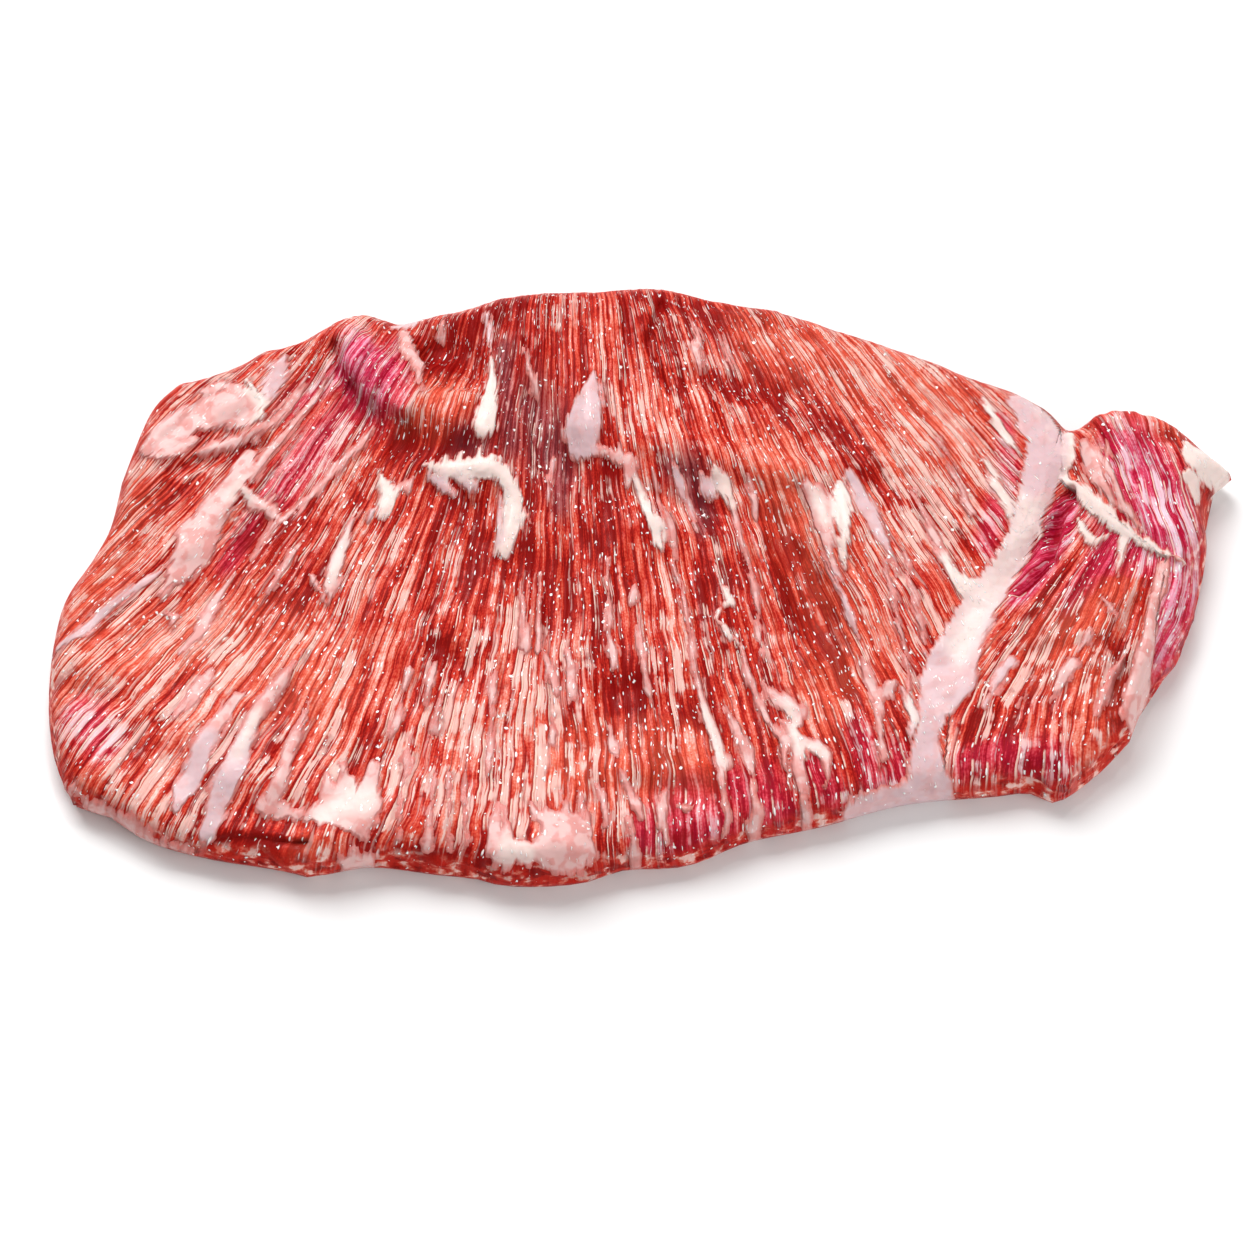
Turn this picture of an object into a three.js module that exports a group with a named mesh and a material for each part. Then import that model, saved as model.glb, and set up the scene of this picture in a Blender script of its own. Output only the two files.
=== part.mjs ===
// Raw pork secreto: the thin, fan-shaped muscle from behind the shoulder of the pig, lying flat.
// One solid piece of meat. Its fibres spread towards the viewer from the thicker far edge, and a
// seam of fat parts the main fan from a smaller flap with a raised lobe at its right end.
// Millimetres, +X along the piece, +Y away from the viewer, +Z up, on a flat underside at z = 0.
import * as THREE from "three";

// Thickness and edge
const THICKNESS = 13.5; // of the fan, away from its forms
const CROWN = 3.5; // added over the middle of the far half
const CROWN_CENTRE = [-5, 38];
const CROWN_REACH = [85, 30];
const WIDEST_Z = 4.6; // height at which the edge sticks out furthest
const EDGE_ABOVE = 7; // plan width over which the edge rounds up to the top
const EDGE_BELOW = 4.5; // plan width over which it rounds down to the underside

// The outline, as four curves that meet at the corners of the fan
const FAR_EDGE = [
  [-110.7, 51.7], [-103, 53.3], [-95.5, 56.4], [-91, 60], [-83, 61.7], [-71.5, 68.5],
  [-65.5, 70], [-57.5, 68], [-46, 70.5], [-30, 75.5], [-8, 76.5], [2.5, 77.5], [15, 75],
  [32, 71.2], [52, 64.5], [71.5, 56.8], [80, 52.6], [88, 50.2], [97.5, 45], [103, 39.3],
  [109, 42.4], [118, 42.8], [128.5, 39], [136, 31.8], [141, 27.5],
];
const NEAR_EDGE = [
  [-123.6, 25.5], [-126.2, 12.5], [-130.3, 4], [-136.2, -6], [-139, -29], [-136.5, -47.5],
  [-131, -58], [-125.5, -59], [-116, -65.5], [-102.5, -70], [-83, -73.5], [-78, -75],
  [-69, -73.5], [-62.5, -72.5], [-47, -74.5], [-38, -75.5], [-33, -77], [-22, -77.4],
  [-12, -76.2], [-4.5, -73.4], [8, -72.7], [14, -71.2], [24, -66.6], [42, -62.4],
  [61.5, -56.8], [83, -54.6], [91, -53.8], [96.5, -56.2], [106.5, -49.5], [114.5, -41],
];
const LEFT_EDGE = [FAR_EDGE[0], [-116.6, 45.5], NEAR_EDGE[0]];
const RIGHT_EDGE = [
  FAR_EDGE.at(-1), [134.8, 21], [134.3, 8], [130, -11], [125, -22], [119, -30.5],
  NEAR_EDGE.at(-1),
];

// How far along the far and the near edge each muscle strand starts and ends, as shares of them
const STRAND_ENDS = [
  [0, 0], [0.18, 0.165], [0.355, 0.58], [0.48, 0.75], [0.8, 0.84], [0.84, 0.885], [1, 1],
];

// The mesh: columns follow the strands, and rows cross them
const COLUMNS = 112;
const ROWS = 32;
const RIM_STEPS = [0, 0.6, 2.2, 5]; // distances from the edge of its closest rows and columns
const UNDER_ROW_STEP = 5; // the underside keeps one inner row in this many
const EDGE_SAMPLES = 900;
const SIDE_REACH = 0.15; // share of the columns that bends to the left or the right edge

// The fan of fibres: lines x = axis + u * exp(spread), where u numbers the fibre
const MAIN_FAN = { axis: -19, centreY: -7.5, left: [0.0089, -3e-5], right: [0.0062, -4.7e-5] };
const FLAP_FAN = { axis: 132.5, centreY: -7.5, left: [0.018, -3.8e-4], right: [0.018, -3.8e-4] };
const FAN_BLEND = 12; // half width over which the left spread turns into the right one
const BUNDLE = { width: 4.6, length: 34, height: 0.75 }; // ridges of muscle along the fibres
const SEAM_REACH = [2, 8]; // the ridges rise from nothing between these distances from the seam
const PUCKER = { size: 13, height: 0.8 }; // soft unevenness in all directions

// The fat seam between the fan and the flap
const SEAM = [[95, 44], [95, 24], [82, -5], [72, -31], [69, -56]];

// Forms on the top. A ridge rises along its path, and a negative one sinks. A fold steps down
// from the far side of its path to the near side, and fades over its width.
const RIDGES = [
  { name: "rolled fold", path: [[-70, 60], [-60, 50], [-48, 39], [-38, 34]], width: 8, height: 4 },
  { name: "hollow left of the roll", path: [[-76, 48], [-60, 33]], width: 5, height: -1.6 },
  { name: "hollow right of the roll", path: [[-50, 57], [-43, 47]], width: 4, height: -1.6 },
  { name: "dark hollow", path: [[-24, 44], [-24, 30]], width: 6, height: -2.4 },
  { name: "fat hook", path: [[-50, 26], [-39, 24], [-31, 20], [-30, 5]], width: 3, height: 1.5 },
  { name: "middle fat lump", path: [[-13, 42], [-10, 34]], width: 4, height: 2.2 },
  { name: "middle fat drip", path: [[0, 27], [5, 12]], width: 2.4, height: 1.4 },
  { name: "right fat lump", path: [[43, 20], [47, 8]], width: 4, height: 1.8 },
  { name: "valley below it", path: [[35, 12], [44, -16]], width: 4.5, height: -1.6 },
  { name: "seam valley", path: SEAM, width: 5.5, height: -1.3 },
  { name: "crease beside the seam", path: [[101, 24], [96, 11], [87, -3]], width: 3.4, height: -3.4 },
  { name: "notch in the far edge", path: [[103, 40], [103, 27]], width: 4.2, height: -3.6 },
  { name: "flap", path: [[106, -8], [100, -36]], width: 17, height: 2.4 },
  { name: "lobe", path: [[114, 35], [126, 24]], width: 11, height: 5.5 },
  { name: "flap fat roll", path: [[103, 25], [115, 15], [128, 5]], width: 4, height: 2.8 },
  { name: "flap lip", path: [[127, 1], [120, -18], [113, -43]], width: 3, height: 2.6 },
  { name: "slope beyond the lip", path: [[131, 2], [127, -12], [120, -30]], width: 4, height: -3 },
  { name: "right end bulge", path: [[97, -49]], width: 5, height: 2.4 },
  { name: "left shoulder fat", path: [[-114, 34], [-92, 45]], width: 6, height: 1.3 },
  { name: "left fat strip", path: [[-108, 2], [-91, 26]], width: 4, height: 1.1 },
  { name: "pocket in the near edge", path: [[-101, -63], [-80, -63.5]], width: 2.9, height: -3.4 },
  { name: "left edge lump", path: [[-76, -71], [-68, -70]], width: 4, height: 2 },
  { name: "middle edge lump", path: [[-32, -73], [-12, -72]], width: 4.5, height: 2.4 },
  { name: "far edge hollow", path: [[12, 70], [25, 68]], width: 3.5, height: -1.8 },
  { name: "far edge lump", path: [[31, 67.5]], width: 3.2, height: 1.8 },
  { name: "far edge dip", path: [[-57, 65], [-50, 60]], width: 4, height: -2.4 },
];
const FOLDS = [
  { name: "fold under the roll", path: [[-60, 29], [-50, 24], [-31, 18]], width: 9, drop: 3 },
  { name: "long middle fold", path: [[-18, 30], [19, 22], [38, 20], [52, 23]], width: 10, drop: 3.2 },
  { name: "low left fold", path: [[-112, -48], [-92, -58], [-70, -58]], width: 8, drop: 1.6 },
  { name: "low middle fold", path: [[-40, -40], [-10, -36], [24, -30]], width: 12, drop: 1.4 },
];
const FOLD_STEP = 1.6; // width of the step itself

const clamp = THREE.MathUtils.clamp;
const smoothstep = THREE.MathUtils.smoothstep;

// A smooth random field with values from -1 to 1, the same on every run
function noise(x, y) {
  const at = (i, j) => {
    const wave = Math.sin(i * 127.1 + j * 311.7) * 43758.5453;
    return 2 * (wave - Math.floor(wave)) - 1;
  };
  const [i, j] = [Math.floor(x), Math.floor(y)];
  const [a, b] = [smoothstep(x - i, 0, 1), smoothstep(y - j, 0, 1)];
  const near = THREE.MathUtils.lerp(at(i, j), at(i + 1, j), a);
  const far = THREE.MathUtils.lerp(at(i, j + 1), at(i + 1, j + 1), a);
  return THREE.MathUtils.lerp(near, far, b);
}

// A smooth plan curve through points
function planCurve(points) {
  const curve = new THREE.CatmullRomCurve3(
    points.map(([x, y]) => new THREE.Vector3(x, y, 0)), false, "centripetal");
  curve.arcLengthDivisions = EDGE_SAMPLES;
  return curve;
}

const edges = {
  far: planCurve(FAR_EDGE),
  near: planCurve(NEAR_EDGE),
  left: planCurve(LEFT_EDGE),
  right: planCurve(RIGHT_EDGE),
};
const outline = Object.values(edges).flatMap((edge) => {
  const points = edge.getSpacedPoints(Math.round(EDGE_SAMPLES / 4));
  return points.slice(1).map((point, i) => [points[i], point]);
});

// Distance from (x, y) to a stretch between two points, and which side of it the point is on
function offsetFrom(x, y, [ax, ay], [bx, by]) {
  const [dx, dy] = [bx - ax, by - ay];
  const share = clamp(((x - ax) * dx + (y - ay) * dy) / (dx * dx + dy * dy || 1), 0, 1);
  const distance = Math.hypot(x - ax - share * dx, y - ay - share * dy);
  return { distance, side: Math.sign(dx * (y - ay) - dy * (x - ax)) };
}

// The closest stretch of a path, where a path of one point is a spot
function offsetFromPath(x, y, path) {
  let best = offsetFrom(x, y, path[0], path.length > 1 ? path[1] : path[0]);
  for (let i = 1; i + 1 < path.length; i++) {
    const next = offsetFrom(x, y, path[i], path[i + 1]);
    if (next.distance < best.distance) best = next;
  }
  return best;
}

function distanceToEdge(x, y) {
  let best = Infinity;
  for (const [a, b] of outline) {
    best = Math.min(best, offsetFrom(x, y, [a.x, a.y], [b.x, b.y]).distance);
  }
  return best;
}

// Which side of the seam a point is on: the flap is on its right
function isFlap(x, y) {
  const seam = SEAM.toReversed();
  let i = 0;
  while (i + 2 < seam.length && y > seam[i + 1][1]) i++;
  const share = clamp((y - seam[i][1]) / (seam[i + 1][1] - seam[i][1]), 0, 1);
  return x > THREE.MathUtils.lerp(seam[i][0], seam[i + 1][0], share);
}

// The number of the fibre through (x, y), in millimetres across at the fan's centre
function fibre(x, y) {
  const fan = isFlap(x, y) ? FLAP_FAN : MAIN_FAN;
  const down = fan.centreY - y;
  const rightness = smoothstep(x - fan.axis, -FAN_BLEND, FAN_BLEND);
  const spread = ([rate, change]) => rate * down + (change * down * down) / 2;
  const both = THREE.MathUtils.lerp(spread(fan.left), spread(fan.right), rightness);
  return (x - fan.axis) * Math.exp(-both);
}

function topRelief(x, y) {
  const clearOfSeam = smoothstep(offsetFromPath(x, y, SEAM).distance, ...SEAM_REACH);
  const bundles = noise(fibre(x, y) / BUNDLE.width, y / BUNDLE.length);
  let z = BUNDLE.height * bundles * clearOfSeam;
  z += PUCKER.height * noise(x / PUCKER.size, y / PUCKER.size);
  for (const { path, width, height } of RIDGES) {
    z += height * Math.exp(-((offsetFromPath(x, y, path).distance / width) ** 2));
  }
  for (const { path, width, drop } of FOLDS) {
    const { distance, side } = offsetFromPath(x, y, path);
    const step = smoothstep(distance, 0, FOLD_STEP) * Math.exp(-distance / width);
    z += (side * step * drop) / 2;
  }
  return z;
}

// How far a rounded edge has risen at a distance from the outline, from 0 to 1
function rounding(distance, width) {
  const left = clamp(1 - distance / width, 0, 1);
  return Math.sqrt(1 - left * left);
}

function topHeight(x, y) {
  const [cx, cy] = CROWN_CENTRE;
  const far = ((x - cx) / CROWN_REACH[0]) ** 2 + ((y - cy) / CROWN_REACH[1]) ** 2;
  const full = THICKNESS + CROWN * Math.exp(-far) + topRelief(x, y);
  return WIDEST_Z + (full - WIDEST_Z) * rounding(distanceToEdge(x, y), EDGE_ABOVE);
}

function underHeight(x, y) {
  return WIDEST_Z * (1 - rounding(distanceToEdge(x, y), EDGE_BELOW));
}

// Positions of rows or columns along a length: close together at both ends, even between them
function spacing(length, count) {
  const rim = RIM_STEPS.length - 1;
  const shrink = Math.min(1, length / (4 * RIM_STEPS[rim]));
  const start = RIM_STEPS.map((step) => (step * shrink) / length);
  const inner = count - 2 * rim;
  return Array.from({ length: count + 1 }, (_, i) => {
    if (i <= rim) return start[i];
    if (i >= count - rim) return 1 - start[count - i];
    return THREE.MathUtils.lerp(start[rim], 1 - start[rim], (i - rim) / inner);
  });
}

// The plan: each column runs from the far edge to the near edge, and the first and last bend
// until they are the left and the right edge
const strandEnds = new THREE.SplineCurve(STRAND_ENDS.map(([a, b]) => new THREE.Vector2(a, b)));
const meanEdge = (edges.far.getLength() + edges.near.getLength()) / 2;

function planColumn(share) {
  const ends = strandEnds.getPointAt(share);
  const far = edges.far.getPointAt(clamp(ends.x, 0, 1));
  const near = edges.near.getPointAt(clamp(ends.y, 0, 1));
  const pull = (reach) => Math.max(0, 1 - reach / SIDE_REACH) ** 2;
  return spacing(far.distanceTo(near), ROWS).map((along) => {
    const point = far.clone().lerp(near, along);
    for (const [side, weight] of [[edges.left, pull(share)], [edges.right, pull(1 - share)]]) {
      const chord = side.getPointAt(0).lerp(side.getPointAt(1), along);
      point.addScaledVector(side.getPointAt(along).sub(chord), weight);
    }
    return point;
  });
}

const plan = spacing(meanEdge, COLUMNS).map(planColumn);

// The solid: a top and an underside over one plan, sharing the points of its outline
function meatGeometry() {
  const positions = [];
  const faces = [];
  const addPoint = (x, y, z) => positions.push(x, y, z) / 3 - 1;
  const top = plan.map((column) => column.map(({ x, y }) => addPoint(x, y, topHeight(x, y))));
  const columnEnds = top.flatMap((column) => [column[0], column[ROWS]]);
  const rim = new Set([...top[0], ...columnEnds, ...top[COLUMNS]]);

  // A quad is split along its shorter diagonal, or at a corner of the plan from its inner point
  const addQuad = (...quad) => {
    const [a, b, c, d] = quad.map((i) => new THREE.Vector3().fromArray(positions, 3 * i));
    const inner = quad.flatMap((point, i) => (rim.has(point) ? [] : [i]));
    const turned = inner.length === 1 ? inner[0] % 2 === 1 : a.distanceTo(c) > b.distanceTo(d);
    const [first, second, third, fourth] = turned ? [...quad.slice(1), quad[0]] : quad;
    faces.push(first, second, third, first, third, fourth);
  };

  const innerRow = (row) => (row - RIM_STEPS.length + 1) % UNDER_ROW_STEP === 0;
  const nearRim = (row) => Math.min(row, ROWS - row) < RIM_STEPS.length;
  const underRows = top[0].map((_, row) => row).filter((row) => nearRim(row) || innerRow(row));
  const under = top.map((column, i) => column.map((point, row) => {
    if (rim.has(point) || !underRows.includes(row)) return point;
    const { x, y } = plan[i][row];
    return addPoint(x, y, underHeight(x, y));
  }));

  for (let i = 0; i < COLUMNS; i++) {
    for (let row = 0; row < ROWS; row++) {
      addQuad(top[i][row], top[i][row + 1], top[i + 1][row + 1], top[i + 1][row]);
    }
  }
  for (let i = 0; i < COLUMNS; i++) {
    underRows.slice(1).forEach((row, k) => {
      const last = underRows[k];
      const [left, right] = [under[i], under[i + 1]];
      // Beside the left and the right edge the underside meets every row of the outline
      const leftEnd = i === 0 ? row - 1 : last;
      const rightEnd = i === COLUMNS - 1 ? row - 1 : last;
      for (let r = last; r < leftEnd; r++) faces.push(left[r], right[last], left[r + 1]);
      for (let r = last; r < rightEnd; r++) faces.push(left[last], right[r], right[r + 1]);
      addQuad(left[leftEnd], right[rightEnd], right[row], left[row]);
    });
  }

  const geometry = new THREE.BufferGeometry();
  geometry.setAttribute("position", new THREE.Float32BufferAttribute(positions, 3));
  geometry.setIndex(faces);
  geometry.computeVertexNormals();
  return geometry;
}

const rawPork = new THREE.MeshStandardMaterial({
  name: "raw pork", color: 0xc8564a, roughness: 0.35, metalness: 0,
});
const secreto = new THREE.Mesh(meatGeometry(), rawPork);
secreto.name = "secreto";

// The origin is the middle of the piece's box, on the surface that it lies on
secreto.geometry.computeBoundingBox();
const middle = secreto.geometry.boundingBox.getCenter(new THREE.Vector3());
secreto.geometry.translate(-middle.x, -middle.y, -secreto.geometry.boundingBox.min.z);

const piece = new THREE.Group();
piece.name = "raw pork secreto";
piece.add(secreto);

export default piece;
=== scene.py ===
# %% [markdown]
# # A raw pork secreto on a white table
#
# The secreto is a thin, fan-shaped muscle from behind the shoulder of the pig. This lesson dresses
# its plain solid: a denser surface with the relief of the muscle strands and the fat, and one wet
# meat material. Lengths are millimetres until they are written into a mesh, which is in metres.

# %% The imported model
import math

import bmesh
import bpy
import numpy as np
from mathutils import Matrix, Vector
from mathutils.bvhtree import BVHTree


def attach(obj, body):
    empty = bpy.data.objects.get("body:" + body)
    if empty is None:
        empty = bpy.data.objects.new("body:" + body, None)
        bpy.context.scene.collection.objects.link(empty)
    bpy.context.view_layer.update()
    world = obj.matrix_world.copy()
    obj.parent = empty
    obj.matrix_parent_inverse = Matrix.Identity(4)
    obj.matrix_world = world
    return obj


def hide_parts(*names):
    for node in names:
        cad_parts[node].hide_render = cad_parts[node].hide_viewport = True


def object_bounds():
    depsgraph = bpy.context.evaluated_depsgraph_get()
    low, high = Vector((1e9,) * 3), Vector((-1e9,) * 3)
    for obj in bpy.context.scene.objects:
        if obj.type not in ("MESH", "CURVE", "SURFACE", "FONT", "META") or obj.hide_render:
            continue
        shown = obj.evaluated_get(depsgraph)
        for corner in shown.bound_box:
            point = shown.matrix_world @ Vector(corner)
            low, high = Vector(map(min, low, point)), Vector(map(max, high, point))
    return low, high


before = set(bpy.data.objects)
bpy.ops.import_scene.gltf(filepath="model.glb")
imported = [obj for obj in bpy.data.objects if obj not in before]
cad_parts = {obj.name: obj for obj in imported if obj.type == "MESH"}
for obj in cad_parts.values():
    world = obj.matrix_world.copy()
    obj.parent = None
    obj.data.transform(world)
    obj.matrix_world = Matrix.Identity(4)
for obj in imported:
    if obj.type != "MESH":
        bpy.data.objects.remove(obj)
cad_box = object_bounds()
MM = 0.001  # metres in a millimetre
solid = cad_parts["secreto"]
print("solid box in mm:", [[round(c / MM, 1) for c in corner] for corner in cad_box])

# %% [markdown]
# ## The camera
#
# The picture looks down on the piece at 65 degrees, through a long lens. The camera is placed from
# one point of the meat and the pixel where the photograph shows it, so that any other pixel can be
# followed back onto the meat. It is moved, not shifted, so that it can be walked round the piece.

# %% A camera from one sight point
PICTURE = 1254  # pixels along each side of the photograph
ELEVATION = math.radians(65)
LENS = 200
SENSOR = 36
SIGHT = Vector((0, 0, 7))
SIGHT_PIXEL = (644.5, 579.5)
WIDTH_AT_SIGHT = 296.5  # what the picture takes in at the sight point's distance

back = Vector((0, -math.cos(ELEVATION), math.sin(ELEVATION)))
right = Vector((1, 0, 0))
up = back.cross(right)
pixel = WIDTH_AT_SIGHT / PICTURE
eye = SIGHT + back * (WIDTH_AT_SIGHT * LENS / SENSOR)
eye += right * (PICTURE / 2 - SIGHT_PIXEL[0]) * pixel
eye += up * (SIGHT_PIXEL[1] - PICTURE / 2) * pixel

camera = bpy.data.objects.new("camera", bpy.data.cameras.new("camera"))
camera.data.lens = LENS
camera.data.sensor_width = SENSOR
camera.location = eye * MM
camera.rotation_euler = (math.pi / 2 - ELEVATION, 0, 0)
bpy.context.scene.collection.objects.link(camera)
bpy.context.scene.camera = camera
print("camera at", [round(c) for c in eye], "mm")

# %% [markdown]
# ## Table and light
#
# Product pictures of food are lit by one broad soft light from behind, so that wet meat glitters,
# and the table burns out to white except for the soft shadow in front. A dim, even surrounding
# fills the shadow. It is kept dim because a bright one would lay a grey veil on the wet surface.

# %% A white table under a broad window
TABLE_SIZE = 4.0
WINDOW = {"at": (-0.35, 0.75, 0.95), "size": 0.9, "power": 21}
SPARK = {"at": (0.15, 0.5, 1.3), "size": 0.1, "power": 1.6}
FILL = {"at": (0.8, -0.7, 0.7), "size": 0.8, "power": 8}
SURROUNDING = 0.32

bm = bmesh.new()
bmesh.ops.create_grid(bm, x_segments=1, y_segments=1, size=TABLE_SIZE / 2)
table = bpy.data.objects.new("table", bpy.data.meshes.new("table"))
bm.to_mesh(table.data)
bm.free()
bpy.context.scene.collection.objects.link(table)

white = bpy.data.materials.new("white table")
white.use_nodes = True
table_paint = white.node_tree.nodes["Principled BSDF"].inputs
table_paint["Base Color"].default_value = (0.85, 0.85, 0.85, 1)
table_paint["Roughness"].default_value = 0.9
table_paint["Specular IOR Level"].default_value = 0
table.data.materials.append(white)


def add_light(name, at, size, power):
    """A square light that faces the meat."""
    light = bpy.data.objects.new(name, bpy.data.lights.new(name, "AREA"))
    light.data.size = size
    light.data.energy = power
    light.location = at
    light.rotation_euler = Vector(at).to_track_quat("Z", "Y").to_euler()
    bpy.context.scene.collection.objects.link(light)


add_light("window", **WINDOW)
add_light("spark", **SPARK)
add_light("fill", **FILL)
world = bpy.data.worlds.new("studio")
world.use_nodes = True
world.node_tree.nodes["Background"].inputs["Color"].default_value = (1, 0.99, 0.98, 1)
world.node_tree.nodes["Background"].inputs["Strength"].default_value = SURROUNDING
bpy.context.scene.world = world
bpy.context.scene.view_settings.view_transform = "Standard"

# %% [markdown]
# ## A dense skin over the solid
#
# The solid's faces are up to 5 mm long, too coarse for strands of muscle a millimetre wide. They
# could be refined by a modifier, but the strands are pushed up point by point, so the points must
# be real. Its copy is merged, its upper side is divided evenly, and the facets are smoothed away.

# %% Divide and smooth a copy
CUTS = 4
RIM_CUTS = 1
RIM_HEIGHT = 4.6  # below this the edge rounds under
TABLE_GAP = 0.05  # faces whose middle is lower lie on the table
SMOOTH_ROUNDS = 14

bm = bmesh.new()
bm.from_mesh(solid.data)
bmesh.ops.remove_doubles(bm, verts=bm.verts, dist=1e-3 * MM)
shape_tree = BVHTree.FromBMesh(bm)
bm.normal_update()
upper = {f for f in bm.faces if f.normal.z > 0}
outline = {e for e in bm.edges if len([f for f in e.link_faces if f in upper]) == 1}
under_rim = {
    f for f in bm.faces
    if f not in upper and TABLE_GAP * MM < f.calc_center_median().z
}
rim_edges = {e for f in under_rim for e in f.edges} - outline
upper_edges = {e for f in upper for e in f.edges}
bmesh.ops.subdivide_edges(bm, edges=list(rim_edges), cuts=RIM_CUTS, use_grid_fill=True)
bmesh.ops.subdivide_edges(bm, edges=list(upper_edges), cuts=CUTS, use_grid_fill=True)
bm.normal_update()
loose = [v for v in bm.verts if all(f.normal.z > 0 for f in v.link_faces)]
for _ in range(SMOOTH_ROUNDS):
    bmesh.ops.smooth_vert(
        bm, verts=loose, factor=0.5, use_axis_x=True, use_axis_y=True, use_axis_z=True)
bmesh.ops.triangulate(bm, faces=[f for f in bm.faces if len(f.verts) > 3])
meat = bpy.data.objects.new("meat", bpy.data.meshes.new("meat"))
bm.to_mesh(meat.data)
outline_points = [v.index for v in bm.verts
                  if 1 < sum(f.normal.z > 0 for f in v.link_faces) < len(v.link_faces)]
print("meat:", len(bm.verts), "points,", len(bm.faces), "triangles")
bm.free()
bpy.context.scene.collection.objects.link(meat)
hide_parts("secreto")
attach(meat, "root")

# %% [markdown]
# ## Where each fibre runs
#
# The muscle fibres spread like a fan from the far edge. A seam of fat parts them from a small flap
# whose fibres run another way, and so do those of the round lobe at its far side. Every pattern of
# the meat follows them, so each point gets two numbers: which fibre it is on, and how far along it.
# They are kept as a UV map.

# %% Fibre numbers
MAIN_FAN = {"axis": -19, "centre": -7.5, "left": (0.0089, -3e-5), "right": (0.0062, -4.7e-5)}
FLAP_FAN = {"axis": 132.5, "centre": -7.5, "left": (0.018, -3.8e-4), "right": (0.018, -3.8e-4)}
FAN_BLEND = 12  # half width over which the left spread turns into the right one
SEAM = [(95, 44), (95, 24), (82, -5), (72, -31), (69, -56)]
LOBE_EDGE = [(99, 45), (99, 23), (106, 16), (115, 8), (123, 2), (119, -19), (115, -41)]
LOBE_BEND = {"slope": 0.4, "turn": 2, "width": 8}  # its fibres run right on their way down, then left
FLAP_NUMBERS = 400  # added to the flap's fibre numbers, so that they differ from the fan's
LOBE_NUMBERS = 800  # the same for the lobe's
UV_UNIT = 100  # millimetres to one unit of the UV map


def smoothstep(value, low, high):
    """0 below low, 1 above high, and smooth between them."""
    share = np.clip((value - low) / (high - low), 0, 1)
    return share * share * (3 - 2 * share)


def fibre_number(x, y, fan):
    """Which fibre of the fan a point is on, in millimetres across at the fan's centre."""
    down = fan["centre"] - y
    left, right_hand = (rate * down + change * down**2 / 2 for rate, change in
                        (fan["left"], fan["right"]))
    rightness = smoothstep(x - fan["axis"], -FAN_BLEND, FAN_BLEND)
    return (x - fan["axis"]) * np.exp(-(left + (right_hand - left) * rightness))


count = len(meat.data.vertices)
points = np.empty(count * 3)
meat.data.vertices.foreach_get("co", points)
points = points.reshape(count, 3) / MM
x, y, z = points.T
seam_y, seam_x = zip(*sorted((py, px) for px, py in SEAM))
is_flap = x > np.interp(y, seam_y, seam_x)
lobe_y, lobe_x = zip(*sorted((py, px) for px, py in LOBE_EDGE))
is_lobe = x > np.interp(y, lobe_y, lobe_x)


def fibre_across(px, py):
    """The fibre number in the part of the piece that each point belongs to."""
    flap_number = fibre_number(px, py, FLAP_FAN) + FLAP_NUMBERS
    flap_or_fan = np.where(is_flap, flap_number, fibre_number(px, py, MAIN_FAN))
    bend = LOBE_BEND["slope"] * np.hypot(py - LOBE_BEND["turn"], LOBE_BEND["width"])
    return np.where(is_lobe, px + bend + LOBE_NUMBERS, flap_or_fan)


across = fibre_across(x, y)
along = y

STEP = 0.5
fibre_slope = [fibre_across(x + dx, y + dy) - across for dx, dy in ((STEP, 0), (0, STEP))]
fibre_way = np.column_stack([-fibre_slope[1], fibre_slope[0]])
fibre_way /= np.linalg.norm(fibre_way, axis=1, keepdims=True)

grain = meat.data.uv_layers.new(name="grain")
corner_points = np.empty(len(meat.data.loops), dtype=int)
meat.data.loops.foreach_get("vertex_index", corner_points)
grain_map = np.column_stack([across, along])[corner_points] / UV_UNIT
grain.data.foreach_set("uv", grain_map.ravel())
print("fibres from", round(across[~is_flap].min()), "to", round(across[~is_flap].max()))

# %% [markdown]
# ## Marks on the meat
#
# Fat islands, strands, stains and painted light and shade have no rule, so they are laid where the
# photograph shows them.
# A mark is a path of pixels with a width in millimetres at each. The camera's own lines carry the
# pixels onto the solid, and a field tells each point how far inside a mark it is.

# %% From a pixel to the meat
NO_MARK = -3.0  # the field's value, in millimetres, away from all marks
ALONG_COUNTS = 0.5  # how much of a gap along the fibres counts
plan = np.column_stack([x, y])


def on_meat(column, row):
    """The place in plan that a pixel of the photograph shows."""
    sensor = SENSOR / PICTURE
    line = right * (column - PICTURE / 2) * sensor - up * (row - PICTURE / 2) * sensor
    line -= back * LENS
    hit = shape_tree.ray_cast(eye * MM, line)[0]
    if hit is None:
        hit = (eye + line * (RIM_HEIGHT - eye.z) / line.z) * MM
    return np.array((hit.x, hit.y)) / MM


def lay(field, path, shape, along_counts=ALONG_COUNTS):
    """Raises the field along a path of pixels and widths to shape(depth, half width).

    A gap may count for less along the fibres than across them, because stains run along them."""
    places = [(on_meat(*p[:2]), p[2] / 2) for p in path]
    stretches = list(zip(places, places[1:])) or [(places[0], places[0])]
    for (start, wide), (end, wide_end) in stretches:
        margin = max(wide, wide_end) - NO_MARK
        low, high = np.minimum(start, end) - margin, np.maximum(start, end) + margin
        near = np.flatnonzero(np.all((plan > low) & (plan < high), axis=1))
        run = end - start
        share = np.clip((plan[near] - start) @ run / (run @ run or 1), 0, 1)
        offset = plan[near] - start - share[:, None] * run
        gap_along = np.sum(offset * fibre_way[near], axis=1)
        gap_squared = np.sum(offset**2, axis=1) - (1 - along_counts**2) * gap_along**2
        gap = np.sqrt(np.maximum(gap_squared, 0))
        half = wide + (wide_end - wide) * share
        field[near] = np.maximum(field[near], shape(half - gap, half))


def keep(name, values):
    """Keeps a number per point on the mesh, for the material."""
    meat.data.attributes.new(name, "FLOAT", "POINT").data.foreach_set("value", values)


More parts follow.
